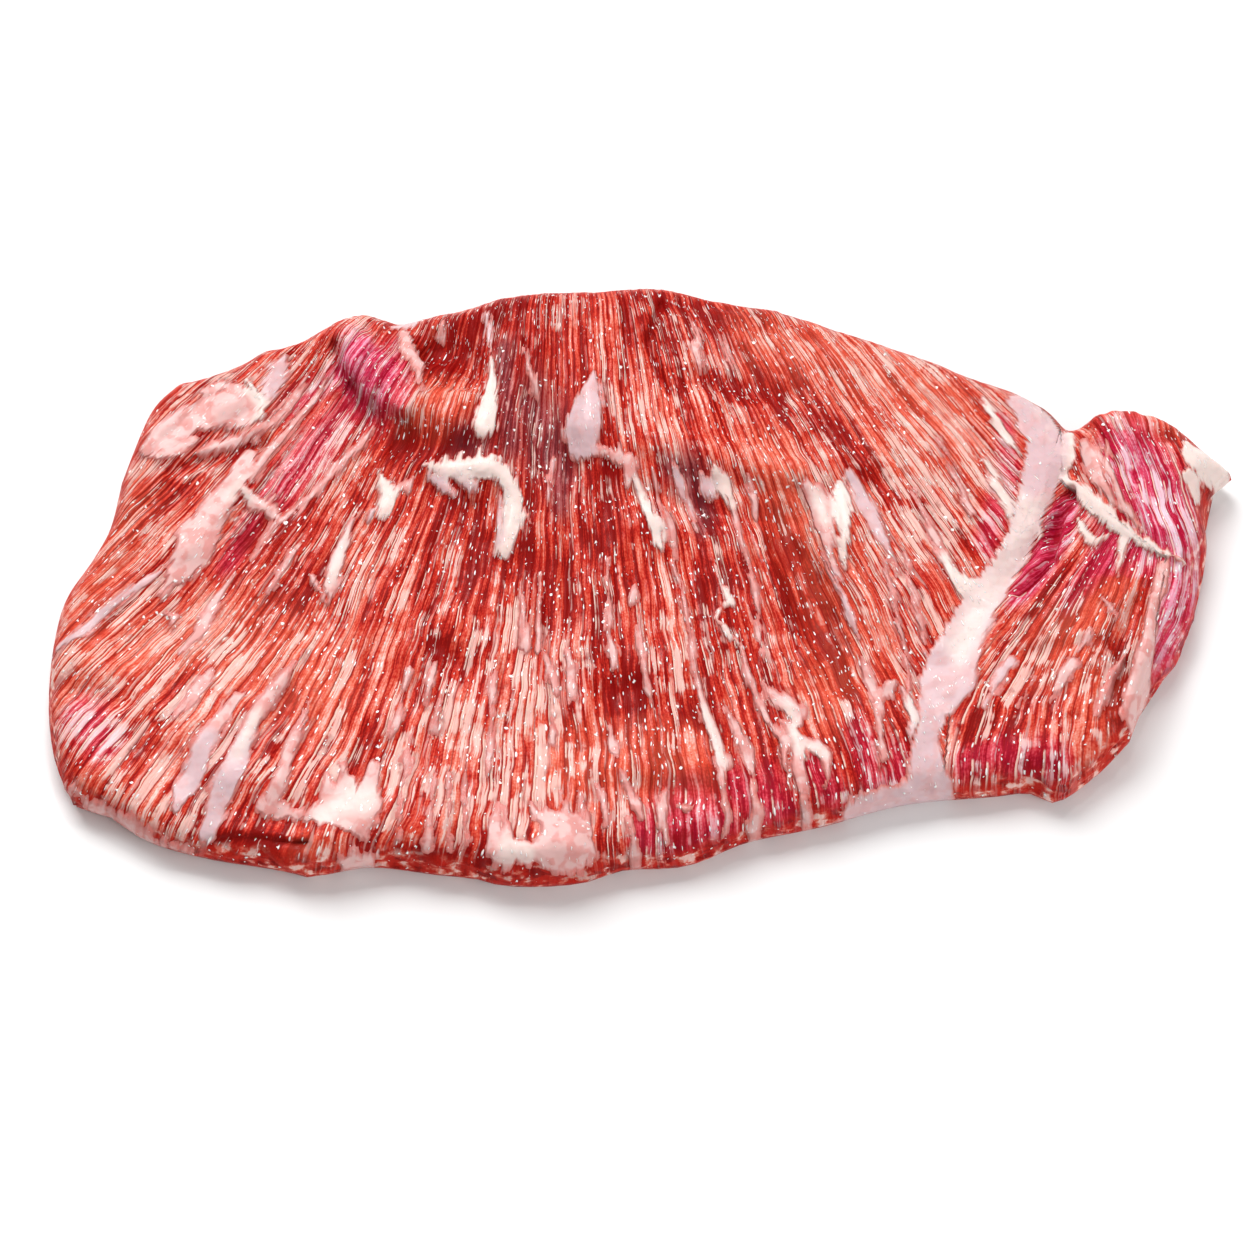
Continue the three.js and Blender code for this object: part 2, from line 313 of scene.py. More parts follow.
# %% Fat marks
# Each mark is its height, and a path of column, row and width.
PINK_FAT = {
    "shoulder patch": (0.7, [(150, 448, 5), (168, 436, 9), (190, 420, 8), (214, 410, 9.4),
                             (238, 404, 10), (258, 402, 6)]),
    "shoulder's low lump": (0.6, [(158, 456, 3), (176, 450, 4), (192, 440, 3)]),
    "shoulder's upper lump": (0.5, [(206, 394, 3), (222, 386, 3.4), (238, 388, 3)]),
    "shoulder's lap": (0.8, [(232, 424, 3), (246, 420, 4.4), (262, 414, 3)]),
    "shoulder's rim": (0.3, [(140, 404, 1), (150, 396, 1.8), (166, 388, 1)]),
    "near left rim": (0.4, [(66, 784, 1), (88, 803, 2), (118, 818, 2.4), (144, 834, 3),
                            (162, 848, 2.4), (196, 854, 1)]),
    "lobe's inner fat": (0.8, [(1084, 444, 3), (1093, 460, 5), (1099, 478, 3.6), (1110, 496, 1.8),
                               (1128, 516, 1)]),
    "left fat strip": (0.7, [(250, 454, 4), (242, 470, 6.4), (232, 488, 6), (214, 508, 7.4),
                             (204, 530, 8.4), (194, 550, 9.4), (180, 570, 7), (172, 580, 3)]),
    "strip's left step": (0.6, [(192, 522, 3), (184, 532, 4), (182, 548, 4)]),
    "end of the strip": (0.6, [(176, 574, 3), (163, 594, 2), (158, 600, 1)]),
    "its branch": (1.1, [(244, 490, 3), (256, 504, 3.4), (270, 511, 3.6), (281, 521, 2.6)]),
    "spur of the branch": (0.6, [(268, 510, 2), (274, 496, 0.8)]),
    "below the branch": (0.7, [(274, 524, 3), (262, 541, 2.6), (251, 560, 1)]),
    "strand under the roll": (0.6, [(374, 427, 0.8), (362, 444, 2.6), (346, 459, 2.8),
                                    (330, 477, 2.6), (310, 496, 2), (284, 520, 2)]),
    "strand right of the strip": (0.5, [(294, 553, 2.4), (281, 573, 2.6), (268, 593, 1.4)]),
    "thin strand below": (0.5, [(236, 574, 1.4), (222, 592, 2.4), (207, 616, 3), (196, 634, 2.4),
                                (178, 654, 1)]),
    "left pink bit": (0.4, [(166, 614, 1), (175, 618, 2.6), (172, 628, 1)]),
    "pointed drip": (1.2, [(352, 519, 1), (344, 542, 3.4), (337, 562, 4.4), (330, 584, 4.4),
                           (330, 605, 0.6)]),
    "curl of the drip": (0.7, [(312, 577, 2.2), (318, 588, 1.6), (326, 602, 1)]),
    "bit beside the triangle": (0.8, [(396, 490, 2), (408, 487, 3.6), (416, 478, 0.8)]),
    "hook barb": (0.9, [(514, 506, 3), (523, 516, 2.2), (532, 524, 0.6)]),
    "link": (1.1, [(588, 452, 3), (605, 451, 2.6), (619, 458, 3.4), (630, 463, 4.4)]),
    "spike of the link": (0.8, [(621, 456, 2.8), (619, 443, 0.8)]),
    "blob of the link": (1.3, [(631, 463, 4.2), (630, 475, 4.6), (627, 486, 1.6)]),
    "bit beside the blob": (0.7, [(639, 463, 1.6), (636, 478, 2)]),
    "second long drip": (0.9, [(652, 468, 0.8), (657, 485, 1.8), (663, 505, 2.4), (669, 523, 2.6),
                               (673, 542, 2.2), (677, 560, 1.2)]),
    "right lump strand": (0.7, [(732, 505, 2), (737, 524, 1.6), (742, 545, 2), (748, 566, 1.6)]),
    "its lower strand": (0.6, [(748, 566, 1.6), (755, 586, 1.8), (759, 629, 2), (766, 662, 1.2)]),
    "bit right of the lump": (0.6, [(748, 478, 1.2), (754, 496, 2.6), (757, 516, 1.2)]),
    "right patch": (1.1, [(806, 486, 3), (816, 494, 5), (824, 508, 6.4), (824, 524, 5.6),
                          (828, 540, 4), (830, 560, 3), (838, 580, 2.4)]),
    "strand above the first low drip": (0.7, [(670, 562, 1), (681, 584, 1.4), (687, 620, 2),
                                              (692, 650, 2), (697, 678, 1.4), (700, 695, 2)]),
    "first low drip": (1.3, [(700, 695, 2), (706, 715, 3.2), (714, 736, 3.4), (723, 762, 4.2),
                             (722, 785, 2.4), (725, 806, 2), (727, 818, 1.8), (720, 842, 0.6)]),
    "second low drip": (1.2, [(726, 707, 1), (734, 723, 2.4), (742, 740, 3), (748, 754, 3.4),
                              (751, 776, 2), (754, 798, 2.4), (758, 814, 2.4), (752, 830, 3.6)]),
    "third low drip": (1.0, [(743, 652, 1.2), (746, 669, 2.4), (752, 686, 2.6), (757, 700, 1.8),
                             (766, 719, 2.2), (776, 731, 2.6), (786, 744, 3), (784, 768, 1)]),
    "large low drip top": (1.2, [(763, 682, 1), (772, 696, 3.6), (784, 704, 4.6), (796, 712, 4.4),
                                 (799, 724, 3)]),
    "large low drip": (1.4, [(785, 722, 2), (794, 735, 4), (800, 748, 5.4), (799, 766, 4),
                             (801, 784, 2.4), (805, 804, 2.6), (809, 828, 2.6)]),
    "its right drip": (1.1, [(798, 742, 5), (813, 746, 4.4), (826, 754, 3), (828, 768, 1.8),
                             (826, 788, 0.8)]),
    "upper middle streak": (0.6, [(609, 559, 0.8), (608, 590, 1.8), (610, 616, 2), (609, 633, 0.8)]),
    "small middle blob": (0.6, [(635, 584, 0.8), (632, 598, 2.8), (629, 608, 1)]),
    "middle low streak": (0.8, [(639, 614, 1), (641, 640, 2.2), (643, 665, 2.2), (648, 690, 2),
                                (653, 705, 0.6)]),
    "middle blotch": (0.4, [(609, 636, 1), (613, 650, 3.6), (615, 664, 3)]),
    "left of the blotch": (0.5, [(566, 648, 0.8), (572, 667, 3), (571, 700, 2.6), (568, 716, 0.8)]),
    "streak left of that": (0.5, [(543, 650, 0.8), (550, 670, 2.8), (555, 690, 2.2), (552, 704, 0.8)]),
    "white low streak": (1.0, [(657, 782, 1.2), (664, 792, 2.6), (663, 808, 2.6), (661, 822, 2),
                               (666, 840, 2)]),
    "white low blob": (0.8, [(677, 806, 1.4), (688, 808, 2.2)]),
    "streak left of it": (0.7, [(619, 768, 0.8), (628, 786, 2.8), (636, 802, 3), (642, 818, 2)]),
    "its lower part": (0.6, [(628, 820, 2), (632, 836, 2.4), (635, 856, 2.6)]),
    "near streak": (0.5, [(597, 784, 1.4), (603, 800, 2.4), (607, 826, 0.8)]),
    "strand near the seam foot": (0.9, [(862, 658, 1), (868, 680, 2.4), (875, 698, 3.4),
                                        (886, 694, 4.6), (895, 682, 1.6)]),
    "below that": (0.6, [(879, 700, 3.4), (878, 716, 2.4), (880, 740, 1.8), (884, 756, 2.4),
                         (879, 768, 0.6)]),
    "big low left strand": (0.9, [(306, 650, 1), (290, 670, 3.2), (272, 693, 3.8), (255, 718, 4.4),
                                  (243, 742, 5)]),
    "second low left strand": (0.8, [(236, 698, 3.4), (224, 714, 4.6), (208, 738, 5)]),
    "third low left strand": (0.7, [(316, 692, 1), (302, 722, 2.6), (290, 750, 3.2), (281, 778, 3.8),
                                    (268, 812, 4)]),
    "above the second": (0.4, [(212, 668, 1), (204, 682, 4), (190, 700, 3.6), (170, 722, 1)]),
    "bottom fat left": (0.7, [(303, 819, 2.4), (324, 812, 7), (344, 810, 9), (358, 818, 9),
                              (364, 836, 3)]),
    "its first finger": (0.6, [(325, 770, 1), (329, 786, 4), (330, 804, 6)]),
    "its second finger": (0.6, [(343, 766, 2.4), (346, 782, 5), (346, 800, 8)]),
    "its third finger": (0.6, [(374, 766, 3), (370, 782, 5), (364, 802, 9)]),
    "left part of it": (0.6, [(264, 808, 4), (284, 812, 4), (300, 816, 3)]),
    "bottom fat middle": (0.6, [(494, 848, 5), (510, 848, 7), (530, 855, 4), (550, 844, 9),
                                (574, 844, 9.4), (590, 858, 2.4)]),
    "its left side": (0.5, [(498, 802, 1), (495, 822, 2.6), (496, 842, 5)]),
    "its upper part": (0.5, [(538, 816, 3), (552, 820, 6), (568, 826, 8.4), (582, 828, 5)]),
    "bottom finger 1": (0.7, [(505, 806, 0.8), (508, 838, 4)]),
    "bottom finger 2": (0.6, [(528, 798, 0.8), (534, 812, 2.6)]),
    "bottom finger 3": (0.7, [(544, 806, 1), (551, 834, 6)]),
    "bottom finger 4": (0.7, [(562, 790, 0.8), (568, 830, 5)]),
    "bottom finger 5": (0.6, [(581, 792, 0.8), (588, 826, 1.8), (595, 856, 1.6)]),
    "island 1": (0.5, [(499, 658, 0.8), (494, 682, 2.6), (491, 720, 1.6)]),
    "island 2": (0.5, [(489, 726, 2), (491, 752, 2.6), (488, 778, 1)]),
    "island 3": (0.4, [(434, 662, 0.8), (430, 682, 3.6), (424, 704, 1)]),
    "island 4": (0.4, [(404, 696, 1), (396, 724, 3.6), (388, 738, 1)]),
    "island 5": (0.4, [(411, 728, 1), (406, 760, 2.8), (404, 776, 1)]),
    "island 6": (0.4, [(441, 700, 1), (434, 728, 2.6)]),
    "island 7": (0.4, [(410, 672, 2.4), (404, 690, 1)]),
    "island 8": (0.4, [(519, 576, 0.8), (523, 612, 1.6), (526, 645, 3.4)]),
    "island 9": (0.4, [(541, 574, 0.8), (539, 610, 1.6), (538, 650, 2)]),
    "island 10": (0.4, [(556, 716, 1), (552, 742, 2.4)]),
    "island 11": (0.4, [(612, 726, 1), (612, 744, 3), (616, 756, 1)]),
    "foot streak 1": (0.7, [(436, 774, 0.8), (430, 810, 1.4), (428, 846, 3)]),
    "foot streak 2": (0.5, [(449, 775, 1), (450, 850, 1.6)]),
    "foot streak 3": (0.5, [(464, 770, 1), (466, 845, 1.4)]),
    "foot streak 4": (0.5, [(403, 780, 1), (398, 838, 1.6)]),
    "edge lump": (0.8, [(340, 858, 2.6), (352, 862, 4), (370, 860, 3)]),
    "strand off the shoulder": (0.6, [(200, 453, 2), (216, 447, 3.2), (242, 439, 3.2),
                                      (264, 426, 2.4)]),
    "strand to the roll": (0.7, [(325, 374, 0.8), (322, 392, 1.6), (304, 411, 2.4), (287, 433, 2.8),
                                 (264, 458, 2.8), (250, 480, 2.4)]),
    "pink strand beside it": (0.5, [(305, 378, 1.4), (297, 396, 2.2), (280, 416, 2.8), (256, 440, 2)]),
    "roll fat": (0.9, [(403, 334, 3), (410, 349, 5), (417, 362, 4), (419, 378, 1.8), (422, 392, 0.8)]),
    "bit above the drip": (0.6, [(442, 323, 1), (441, 337, 2.8)]),
    "streak right of the drip": (0.6, [(524, 348, 1), (530, 370, 2), (536, 386, 2), (541, 398, 0.8)]),
    "fan streak 1": (0.6, [(914, 488, 1), (925, 515, 2), (938, 545, 2.4), (950, 570, 3)]),
    "fan streak 2": (0.5, [(905, 555, 1), (912, 588, 1.8), (921, 622, 1.6), (926, 655, 1)]),
    "fan streak 3": (0.5, [(884, 560, 0.8), (893, 600, 1.6), (905, 650, 1.4), (910, 690, 1)]),
    "fan streak 4": (0.5, [(938, 438, 0.8), (955, 474, 1.8), (972, 512, 2)]),
    "far spike 1": (0.7, [(690, 316, 0.6), (698, 334, 1.8), (697, 350, 3.4), (703, 372, 0.8)]),
    "far spike 2": (0.6, [(719, 328, 0.6), (727, 350, 1.8), (733, 370, 0.8)]),
    "lip": (0.9, [(1164, 566, 2.4), (1157, 592, 3), (1151, 618, 3.4), (1147, 644, 3.6),
                  (1141, 672, 5.4), (1135, 700, 6.4), (1130, 722, 4)]),
    "flap cliff": (0.9, [(1126, 652, 1), (1114, 668, 2), (1106, 690, 2.2), (1098, 716, 1)]),
    "flap strip 1": (0.5, [(1074, 662, 3.4), (1066, 674, 4), (1055, 690, 2.4), (1046, 706, 0.8)]),
    "flap strip 2": (0.4, [(1092, 628, 1), (1086, 640, 2.4), (1078, 650, 1)]),
    "flap strip 3": (0.4, [(1034, 676, 1), (1026, 690, 1.8), (1016, 706, 0.8)]),
    "flap spike": (0.8, [(1105, 599, 0.8), (1112, 610, 2.4), (1119, 623, 0.8)]),
    "lobe lines": (0.5, [(1108, 440, 1), (1108, 468, 2), (1120, 500, 1.8), (1142, 532, 1.6)]),
}
CREAM_FAT = {
    "white curl": (1.5, [(247, 381, 1.6), (254, 391, 2.4), (263, 402, 2.2), (261, 417, 1.8),
                         (253, 421, 0.8)]),
    "hook top": (1.4, [(421, 463, 1), (434, 466, 2.4), (448, 470, 4), (463, 468, 5.4),
                       (480, 466, 5.8), (498, 470, 4.6)]),
    "hook shank": (1.4, [(498, 470, 4.6), (508, 482, 4.4), (514, 500, 4.8), (514, 520, 5.4),
                         (508, 538, 5.4), (503, 552, 4)]),
    "hook spike 1": (0.6, [(444, 464, 2), (446, 453, 0.8)]),
    "hook spike 2": (0.6, [(460, 462, 2), (462, 451, 0.8)]),
    "hook spike 3": (0.8, [(478, 460, 3), (479, 449, 0.8)]),
    "hook spike 4": (0.8, [(492, 464, 2.6), (490, 457, 1.6), (500, 460, 2)]),
    "triangle": (1.3, [(379, 472, 0.8), (384, 484, 3.4), (389, 496, 5), (386, 508, 4.6),
                       (378, 518, 2)]),
    "drip of the roll": (1.4, [(491, 358, 1), (492, 376, 2.4), (491, 396, 4), (487, 412, 5.6),
                               (485, 424, 5.8), (482, 431, 3.6)]),
    "long drip": (1.2, [(637, 482, 2.2), (643, 500, 2.4), (650, 516, 3.4), (656, 527, 3.8),
                        (659, 541, 2.8), (663, 553, 0.6)]),
    "right lump": (1.4, [(716, 473, 3), (721, 484, 4.6), (726, 494, 3.6), (731, 505, 1.6)]),
    "bright right patch": (1.3, [(841, 484, 3), (841, 496, 4.6), (843, 514, 4.6), (843, 532, 3),
                                 (842, 552, 2.6), (846, 568, 1)]),
    "cream curl": (0.9, [(716, 563, 0.8), (719, 582, 1.8), (727, 596, 2.4), (733, 603, 1.4),
                         (722, 606, 1.2), (716, 618, 1.2), (729, 634, 1.4), (742, 648, 1.4)]),
    "flap roll": (1.8, [(1062, 479, 1.4), (1076, 486, 3), (1093, 504, 4.6), (1112, 522, 4.4),
                        (1132, 536, 3), (1154, 549, 2.4), (1183, 563, 1)]),
    "under the flap roll": (1.0, [(1078, 518, 1), (1083, 530, 2.8), (1092, 542, 2.6),
                                  (1108, 536, 1.4)]),
    "flap roll's strip": (0.7, [(1126, 536, 3), (1122, 556, 1.8), (1117, 574, 0.8)]),
    "cream patch": (1.0, [(945, 560, 1.4), (955, 579, 4.4), (970, 590, 6), (986, 602, 5)]),
    "cream tip": (0.5, [(1188, 444, 3), (1197, 456, 8), (1206, 466, 8), (1219, 471, 6),
                        (1227, 475, 3)]),
    "tip's lower edge": (0.4, [(1192, 478, 5), (1196, 498, 2.4)]),
    "seam's upper ridge": (1.0, [(984, 400, 1.6), (996, 421, 3), (1008, 440, 3), (1019, 454, 1.4)]),
    "seam's second ridge": (0.9, [(984, 458, 1.6), (997, 485, 3.2), (1011, 512, 3)]),
    "notch": (0.7, [(1070, 436, 3), (1068, 456, 4), (1062, 478, 3)]),
    "cap's right edge": (0.5, [(1030, 404, 2), (1044, 418, 3), (1056, 436, 4), (1060, 456, 4),
                               (1056, 476, 2)]),
    "seam curl": (0.9, [(1030, 518, 1.2), (1039, 530, 2.4), (1040, 545, 0.8)]),
}
LILAC_FAT = {
    "seam cap": (0.6, [(1018, 402, 6), (1036, 420, 10), (1046, 442, 10), (1044, 466, 10),
                       (1036, 492, 9)]),
    "seam": (0.5, [(1036, 492, 9), (1027, 520, 7), (1018, 545, 7.3), (1005, 568, 7), (990, 590, 9),
                   (976, 612, 9), (962, 640, 10), (954, 660, 12.4), (948, 682, 13.6)]),
    "seam's waist": (0.5, [(948, 682, 13.6), (937, 704, 9), (930, 724, 6), (927, 742, 7.4)]),
    "seam foot": (0.5, [(927, 742, 7.4), (927, 764, 9.4), (928, 786, 11), (930, 804, 12)]),
    "bottom pink": (0.4, [(838, 820, 1), (856, 808, 4), (876, 806, 5), (900, 802, 6), (925, 798, 8)]),
    "piece left of the seam": (1.4, [(902, 688, 1.6), (910, 702, 3), (915, 717, 3.6), (911, 738, 1.6)]),
    "shoulder top": (0.8, [(286, 354, 1), (278, 372, 5.4), (268, 390, 5)]),
    "low end of the big strand": (0.9, [(243, 742, 5), (234, 766, 6), (220, 798, 6), (208, 832, 5)]),
    "low end of the second": (0.7, [(208, 738, 5), (196, 766, 6), (184, 790, 6), (176, 806, 3)]),
    "left lilac streak": (0.4, [(160, 572, 1.4), (132, 590, 2.4), (102, 614, 3), (80, 634, 2.6),
                                (58, 648, 2)]),
    "triangle's foot": (0.6, [(372, 512, 2.4), (367, 524, 1)]),
    "first hook lobe": (1.0, [(427, 475, 1.4), (442, 484, 4), (453, 495, 1.6)]),
    "second hook lobe": (0.9, [(458, 477, 2.4), (470, 485, 3.6), (469, 499, 0.8)]),
    "hook's inner side": (0.6, [(500, 494, 1.4), (500, 518, 2.2), (499, 542, 2)]),
    "middle lump": (1.8, [(594, 374, 1.4), (592, 386, 4.4), (589, 400, 7), (585, 414, 8.4),
                          (581, 430, 9.4), (581, 443, 8), (577, 455, 4)]),
    "bluish patch": (0.6, [(673, 466, 1.4), (680, 484, 2.8), (686, 500, 2.4), (697, 530, 1)]),
    "left of the right lump": (0.9, [(702, 474, 2), (706, 488, 4), (713, 498, 2)]),
    "far grey fat": (0.5, [(393, 329, 2), (403, 327, 3.4), (416, 322, 3), (432, 316, 2)]),
    "strip above the drip": (0.4, [(487, 316, 1.6), (489, 334, 2), (491, 350, 1.4)]),
    "strand under the right patch": (0.7, [(832, 572, 1.4), (843, 596, 2.4), (853, 620, 2),
                                           (859, 638, 1)]),
    "fibres above the seam": (0.5, [(849, 476, 3), (862, 498, 4.4), (875, 522, 4), (886, 548, 3),
                                    (898, 574, 1)]),
    "flap lilac strip": (0.6, [(1012, 660, 3), (1002, 676, 3.4), (984, 706, 2)]),
    "thin white streak": (0.5, [(552, 458, 0.8), (550, 490, 1.2), (548, 506, 0.8)]),
}
print(sum(map(len, (PINK_FAT, CREAM_FAT, LILAC_FAT))), "fat marks")

# %% Stains, tones and painted light and shade
# Each mark is a path of column, row and width. Its strength falls from the middle outwards.
ROSE = {
    "rolled fold": [(350, 346, 12), (368, 372, 18), (386, 394, 16), (404, 402, 8)],
    "left of the roll": [(345, 415, 14), (312, 452, 20), (286, 484, 16), (262, 502, 8)],
    "right side of the roll": [(396, 346, 8), (402, 378, 10)],
    "left bend": [(300, 400, 10), (330, 380, 10)],
    "between strip and branch": [(252, 520, 8), (230, 560, 8)],
    "low middle": [(640, 835, 10), (690, 822, 20), (730, 832, 10)],
    "between the drips": [(736, 790, 12), (770, 800, 18), (788, 830, 12)],
    "right of the low drip": [(818, 772, 12), (836, 802, 12)],
    "seam foot left": [(900, 760, 8), (903, 786, 7)],
    "left of it": [(862, 742, 12), (874, 786, 10)],
    "lower side of the flap": [(1176, 640, 14), (1160, 690, 10), (1150, 720, 8)],
    "crease": [(1068, 500, 8), (1058, 535, 12), (1040, 570, 12), (1020, 594, 8)],
    "under the flap roll": [(1100, 562, 12), (1074, 592, 10)],
    "flap foot": [(962, 762, 8), (1000, 750, 8), (1036, 768, 12), (1062, 768, 10)],
    "seam top left": [(1004, 420, 6), (1010, 470, 8), (985, 545, 8)],
    "left rim": [(75, 710, 10), (110, 745, 10)],
    "left of the seam foot": [(900, 760, 10), (903, 780, 9), (874, 786, 5)],
}
MAGENTA = {
    "lobe": [(1122, 456, 14), (1146, 480, 26), (1160, 506, 28), (1184, 538, 20), (1190, 585, 18),
             (1176, 640, 18)],
    "crease": [(1062, 512, 8), (1050, 545, 10), (1026, 584, 8)],
    "roll": [(352, 360, 8), (378, 384, 10)],
}
# Brown purple: partly the meat's own purple, partly painted shade in the hollows beside and under the drip
# and behind the bluish patch.
PLUM = {
    "right of the drip": [(503, 350, 7), (506, 395, 8), (512, 440, 10)],
    "purple hollow": [(532, 402, 14), (548, 436, 20), (560, 466, 14), (560, 500, 8)],
    "under the drip": [(462, 440, 8), (482, 446, 8)],
    "behind the bluish patch": [(668, 466, 6), (692, 480, 12), (702, 506, 9), (700, 528, 5)],
}
# Darker red. In the hollows, creases and slits, under the roll, hook and link, and along the near edge and
# rim it is painted shade; the blots and the brown spot are the meat's own dark patches.
DARK = {
    "under the roll": [(354, 404, 5), (402, 438, 8), (442, 444, 8), (472, 440, 6)],
    "left of the roll": [(334, 346, 3), (336, 366, 3), (344, 386, 5)],
    "right of the roll fat": [(436, 348, 14), (462, 346, 14), (474, 366, 8)],
    "far edge left": [(455, 328, 8), (485, 320, 10), (520, 304, 8)],
    "far edge right": [(636, 292, 5), (676, 303, 6), (716, 314, 9), (752, 318, 8)],
    "far slit": [(622, 290, 1.2), (627, 342, 1.2)],
    "far crease": [(662, 298, 2.4), (648, 340, 2.4), (655, 364, 2.4), (669, 390, 1.6)],
    "right valley": [(772, 510, 8), (790, 550, 14), (806, 590, 18), (826, 640, 16), (842, 680, 8)],
    "upper right lines": [(800, 378, 6), (838, 436, 7), (858, 470, 5)],
    "second upper right line": [(745, 350, 5), (785, 420, 5)],
    "across the far side": [(700, 378, 5), (740, 388, 7), (780, 392, 7)],
    "under the hook": [(470, 512, 12), (482, 552, 10)],
    "under the link": [(606, 470, 7), (612, 510, 10), (600, 540, 8)],
    "centre": [(530, 560, 8), (552, 590, 12), (552, 618, 8)],
    "blot 1": [(430, 642, 6), (446, 650, 8), (464, 668, 7)],
    "blot 2": [(605, 690, 8), (634, 682, 8), (632, 700, 6)],
    "blot 3": [(690, 716, 8), (712, 728, 4)],
    "blot 4": [(575, 585, 6), (575, 620, 5)],
    "left blot": [(228, 458, 4), (262, 440, 4)],
    "between strip and branch": [(258, 516, 6), (240, 545, 10)],
    "left of the drip's tip": [(275, 596, 6), (300, 598, 9)],
    "left edge": [(52, 690, 5), (72, 672, 6)],
    "low left strands": [(372, 722, 5), (378, 756, 6)],
    "second low left": [(285, 702, 6), (272, 744, 5)],
    "crease": [(1070, 492, 4), (1058, 526, 5), (1050, 556, 6), (1022, 588, 4)],
    "crease of the lobe": [(1140, 436, 3), (1172, 436, 3)],
    "pocket": [(206, 842, 2), (235, 840, 4), (270, 843, 4.4), (303, 843, 3)],
    "near edge": [(395, 866, 5), (440, 872, 6), (480, 872, 6)],
    "under rim": [(490, 874, 5), (540, 878, 6), (590, 868, 5)],
    "right of the low drips": [(662, 842, 5), (720, 846, 5)],
    "flap foot": [(1030, 772, 6), (1052, 776, 6)],
    "flap hollow": [(1112, 636, 6), (1124, 660, 4), (1120, 686, 6), (1114, 712, 6)],
    "low left brown spot": [(84, 806, 3), (96, 811, 2.4)],
    "above the right lump": [(600, 600, 5), (590, 660, 4)],
}
WARM = {
    "right of the roll": [(412, 404, 10), (445, 404, 14), (466, 400, 8)],
    "far edge right": [(760, 340, 20), (860, 370, 24), (950, 400, 18), (900, 450, 16)],
    "centre right": [(780, 480, 22), (820, 560, 24), (850, 640, 20), (820, 700, 16)],
    "left end": [(120, 520, 18), (105, 580, 16), (80, 650, 16)],
    "lobe's top": [(1085, 424, 7), (1125, 420, 9), (1170, 426, 8)],
    "low middle": [(560, 770, 18), (690, 760, 18)],
    "flap": [(1110, 600, 16), (1060, 640, 22), (1100, 690, 16)],
    "near left": [(150, 640, 18), (250, 640, 20), (330, 700, 16)],
    "near edge": [(300, 864, 12), (330, 872, 8)],
}
PALE = {
    "right of the fan": [(860, 480, 18), (920, 500, 24), (900, 580, 20)],
    "near left": [(100, 720, 20), (110, 780, 20), (180, 790, 24), (260, 780, 20)],
    "left of the centre": [(240, 640, 18), (200, 690, 20)],
    "near middle": [(350, 780, 22), (440, 800, 26), (540, 790, 26), (600, 780, 16)],
    "centre": [(510, 640, 20), (560, 680, 24), (440, 700, 16)],
    "far right": [(700, 350, 12), (730, 360, 10)],
    "flap": [(1040, 650, 14), (1060, 700, 18), (1010, 700, 14)],
    "flap band": [(1000, 662, 5), (1034, 652, 6), (1060, 648, 7), (1090, 654, 7), (1118, 660, 5)],
    "bottom right": [(850, 790, 8), (940, 800, 8)],
    "seam's left": [(970, 480, 14), (985, 530, 10)],
    "shoulder": [(190, 390, 8), (240, 380, 8)],
    "lobe": [(1140, 470, 16), (1160, 520, 20), (1190, 570, 16), (1176, 640, 14)],
    "seam's far left": [(930, 440, 16), (980, 440, 12)],
    "flap's foot": [(1090, 730, 16)],
    "middle lump's right": [(610, 400, 8), (622, 430, 10)],
}
# A deeper red over wide zones; under the hook and the roll and along the near edge it is painted shade.
DEEP = {
    "far edge left": [(430, 350, 24), (500, 340, 36), (560, 320, 36), (640, 310, 30), (720, 320, 20)],
    "centre far side": [(510, 430, 20), (550, 460, 20)],
    "far side right": [(700, 400, 26), (790, 410, 28), (850, 450, 20)],
    "under the hook": [(460, 510, 24), (480, 540, 24), (560, 540, 34), (620, 510, 30), (620, 560, 24)],
    "right of the long drips": [(720, 560, 28), (780, 590, 34), (830, 660, 30)],
    "right foot": [(660, 740, 20), (720, 800, 24), (820, 780, 26), (880, 760, 20)],
    "under the roll": [(400, 440, 16), (450, 445, 16)],
    "left of the fat strip": [(130, 520, 14), (180, 490, 12)],
    "left centre": [(290, 590, 20), (240, 540, 14)],
    "lower centre": [(620, 690, 20), (560, 600, 20)],
    "flap": [(1100, 580, 20), (1060, 590, 16), (1110, 640, 12), (980, 760, 16)],
    "near edge": [(220, 845, 8), (300, 850, 10), (420, 868, 10), (540, 880, 10), (640, 860, 10)],
}
# Lighter tone over wide zones; on the roll, the ribbed fold, the fold over the valley, the lip and the near
# left rim it is painted light.
LIGHT = {
    "near left rim": [(66, 760, 14), (100, 810, 16), (150, 836, 12)],
    "left end": [(80, 620, 34), (180, 640, 36), (300, 690, 34)],
    "near middle": [(300, 760, 34), (440, 780, 34), (560, 760, 30)],
    "far right": [(880, 380, 24), (980, 410, 18)],
    "right of the fan": [(880, 500, 30), (940, 540, 30), (950, 460, 26), (880, 640, 20)],
    "fold over the valley": [(690, 440, 20), (780, 460, 18)],
    "flap foot": [(1070, 700, 26), (1040, 720, 20)],
    "lobe": [(1150, 480, 24), (1190, 560, 26), (1170, 650, 24), (1150, 700, 16)],
    "lip": [(1150, 600, 8), (1136, 700, 12)],
    "roll": [(352, 352, 14), (368, 372, 20), (390, 394, 16)],
    "ribbed fold": [(420, 400, 12), (450, 402, 12)],
}
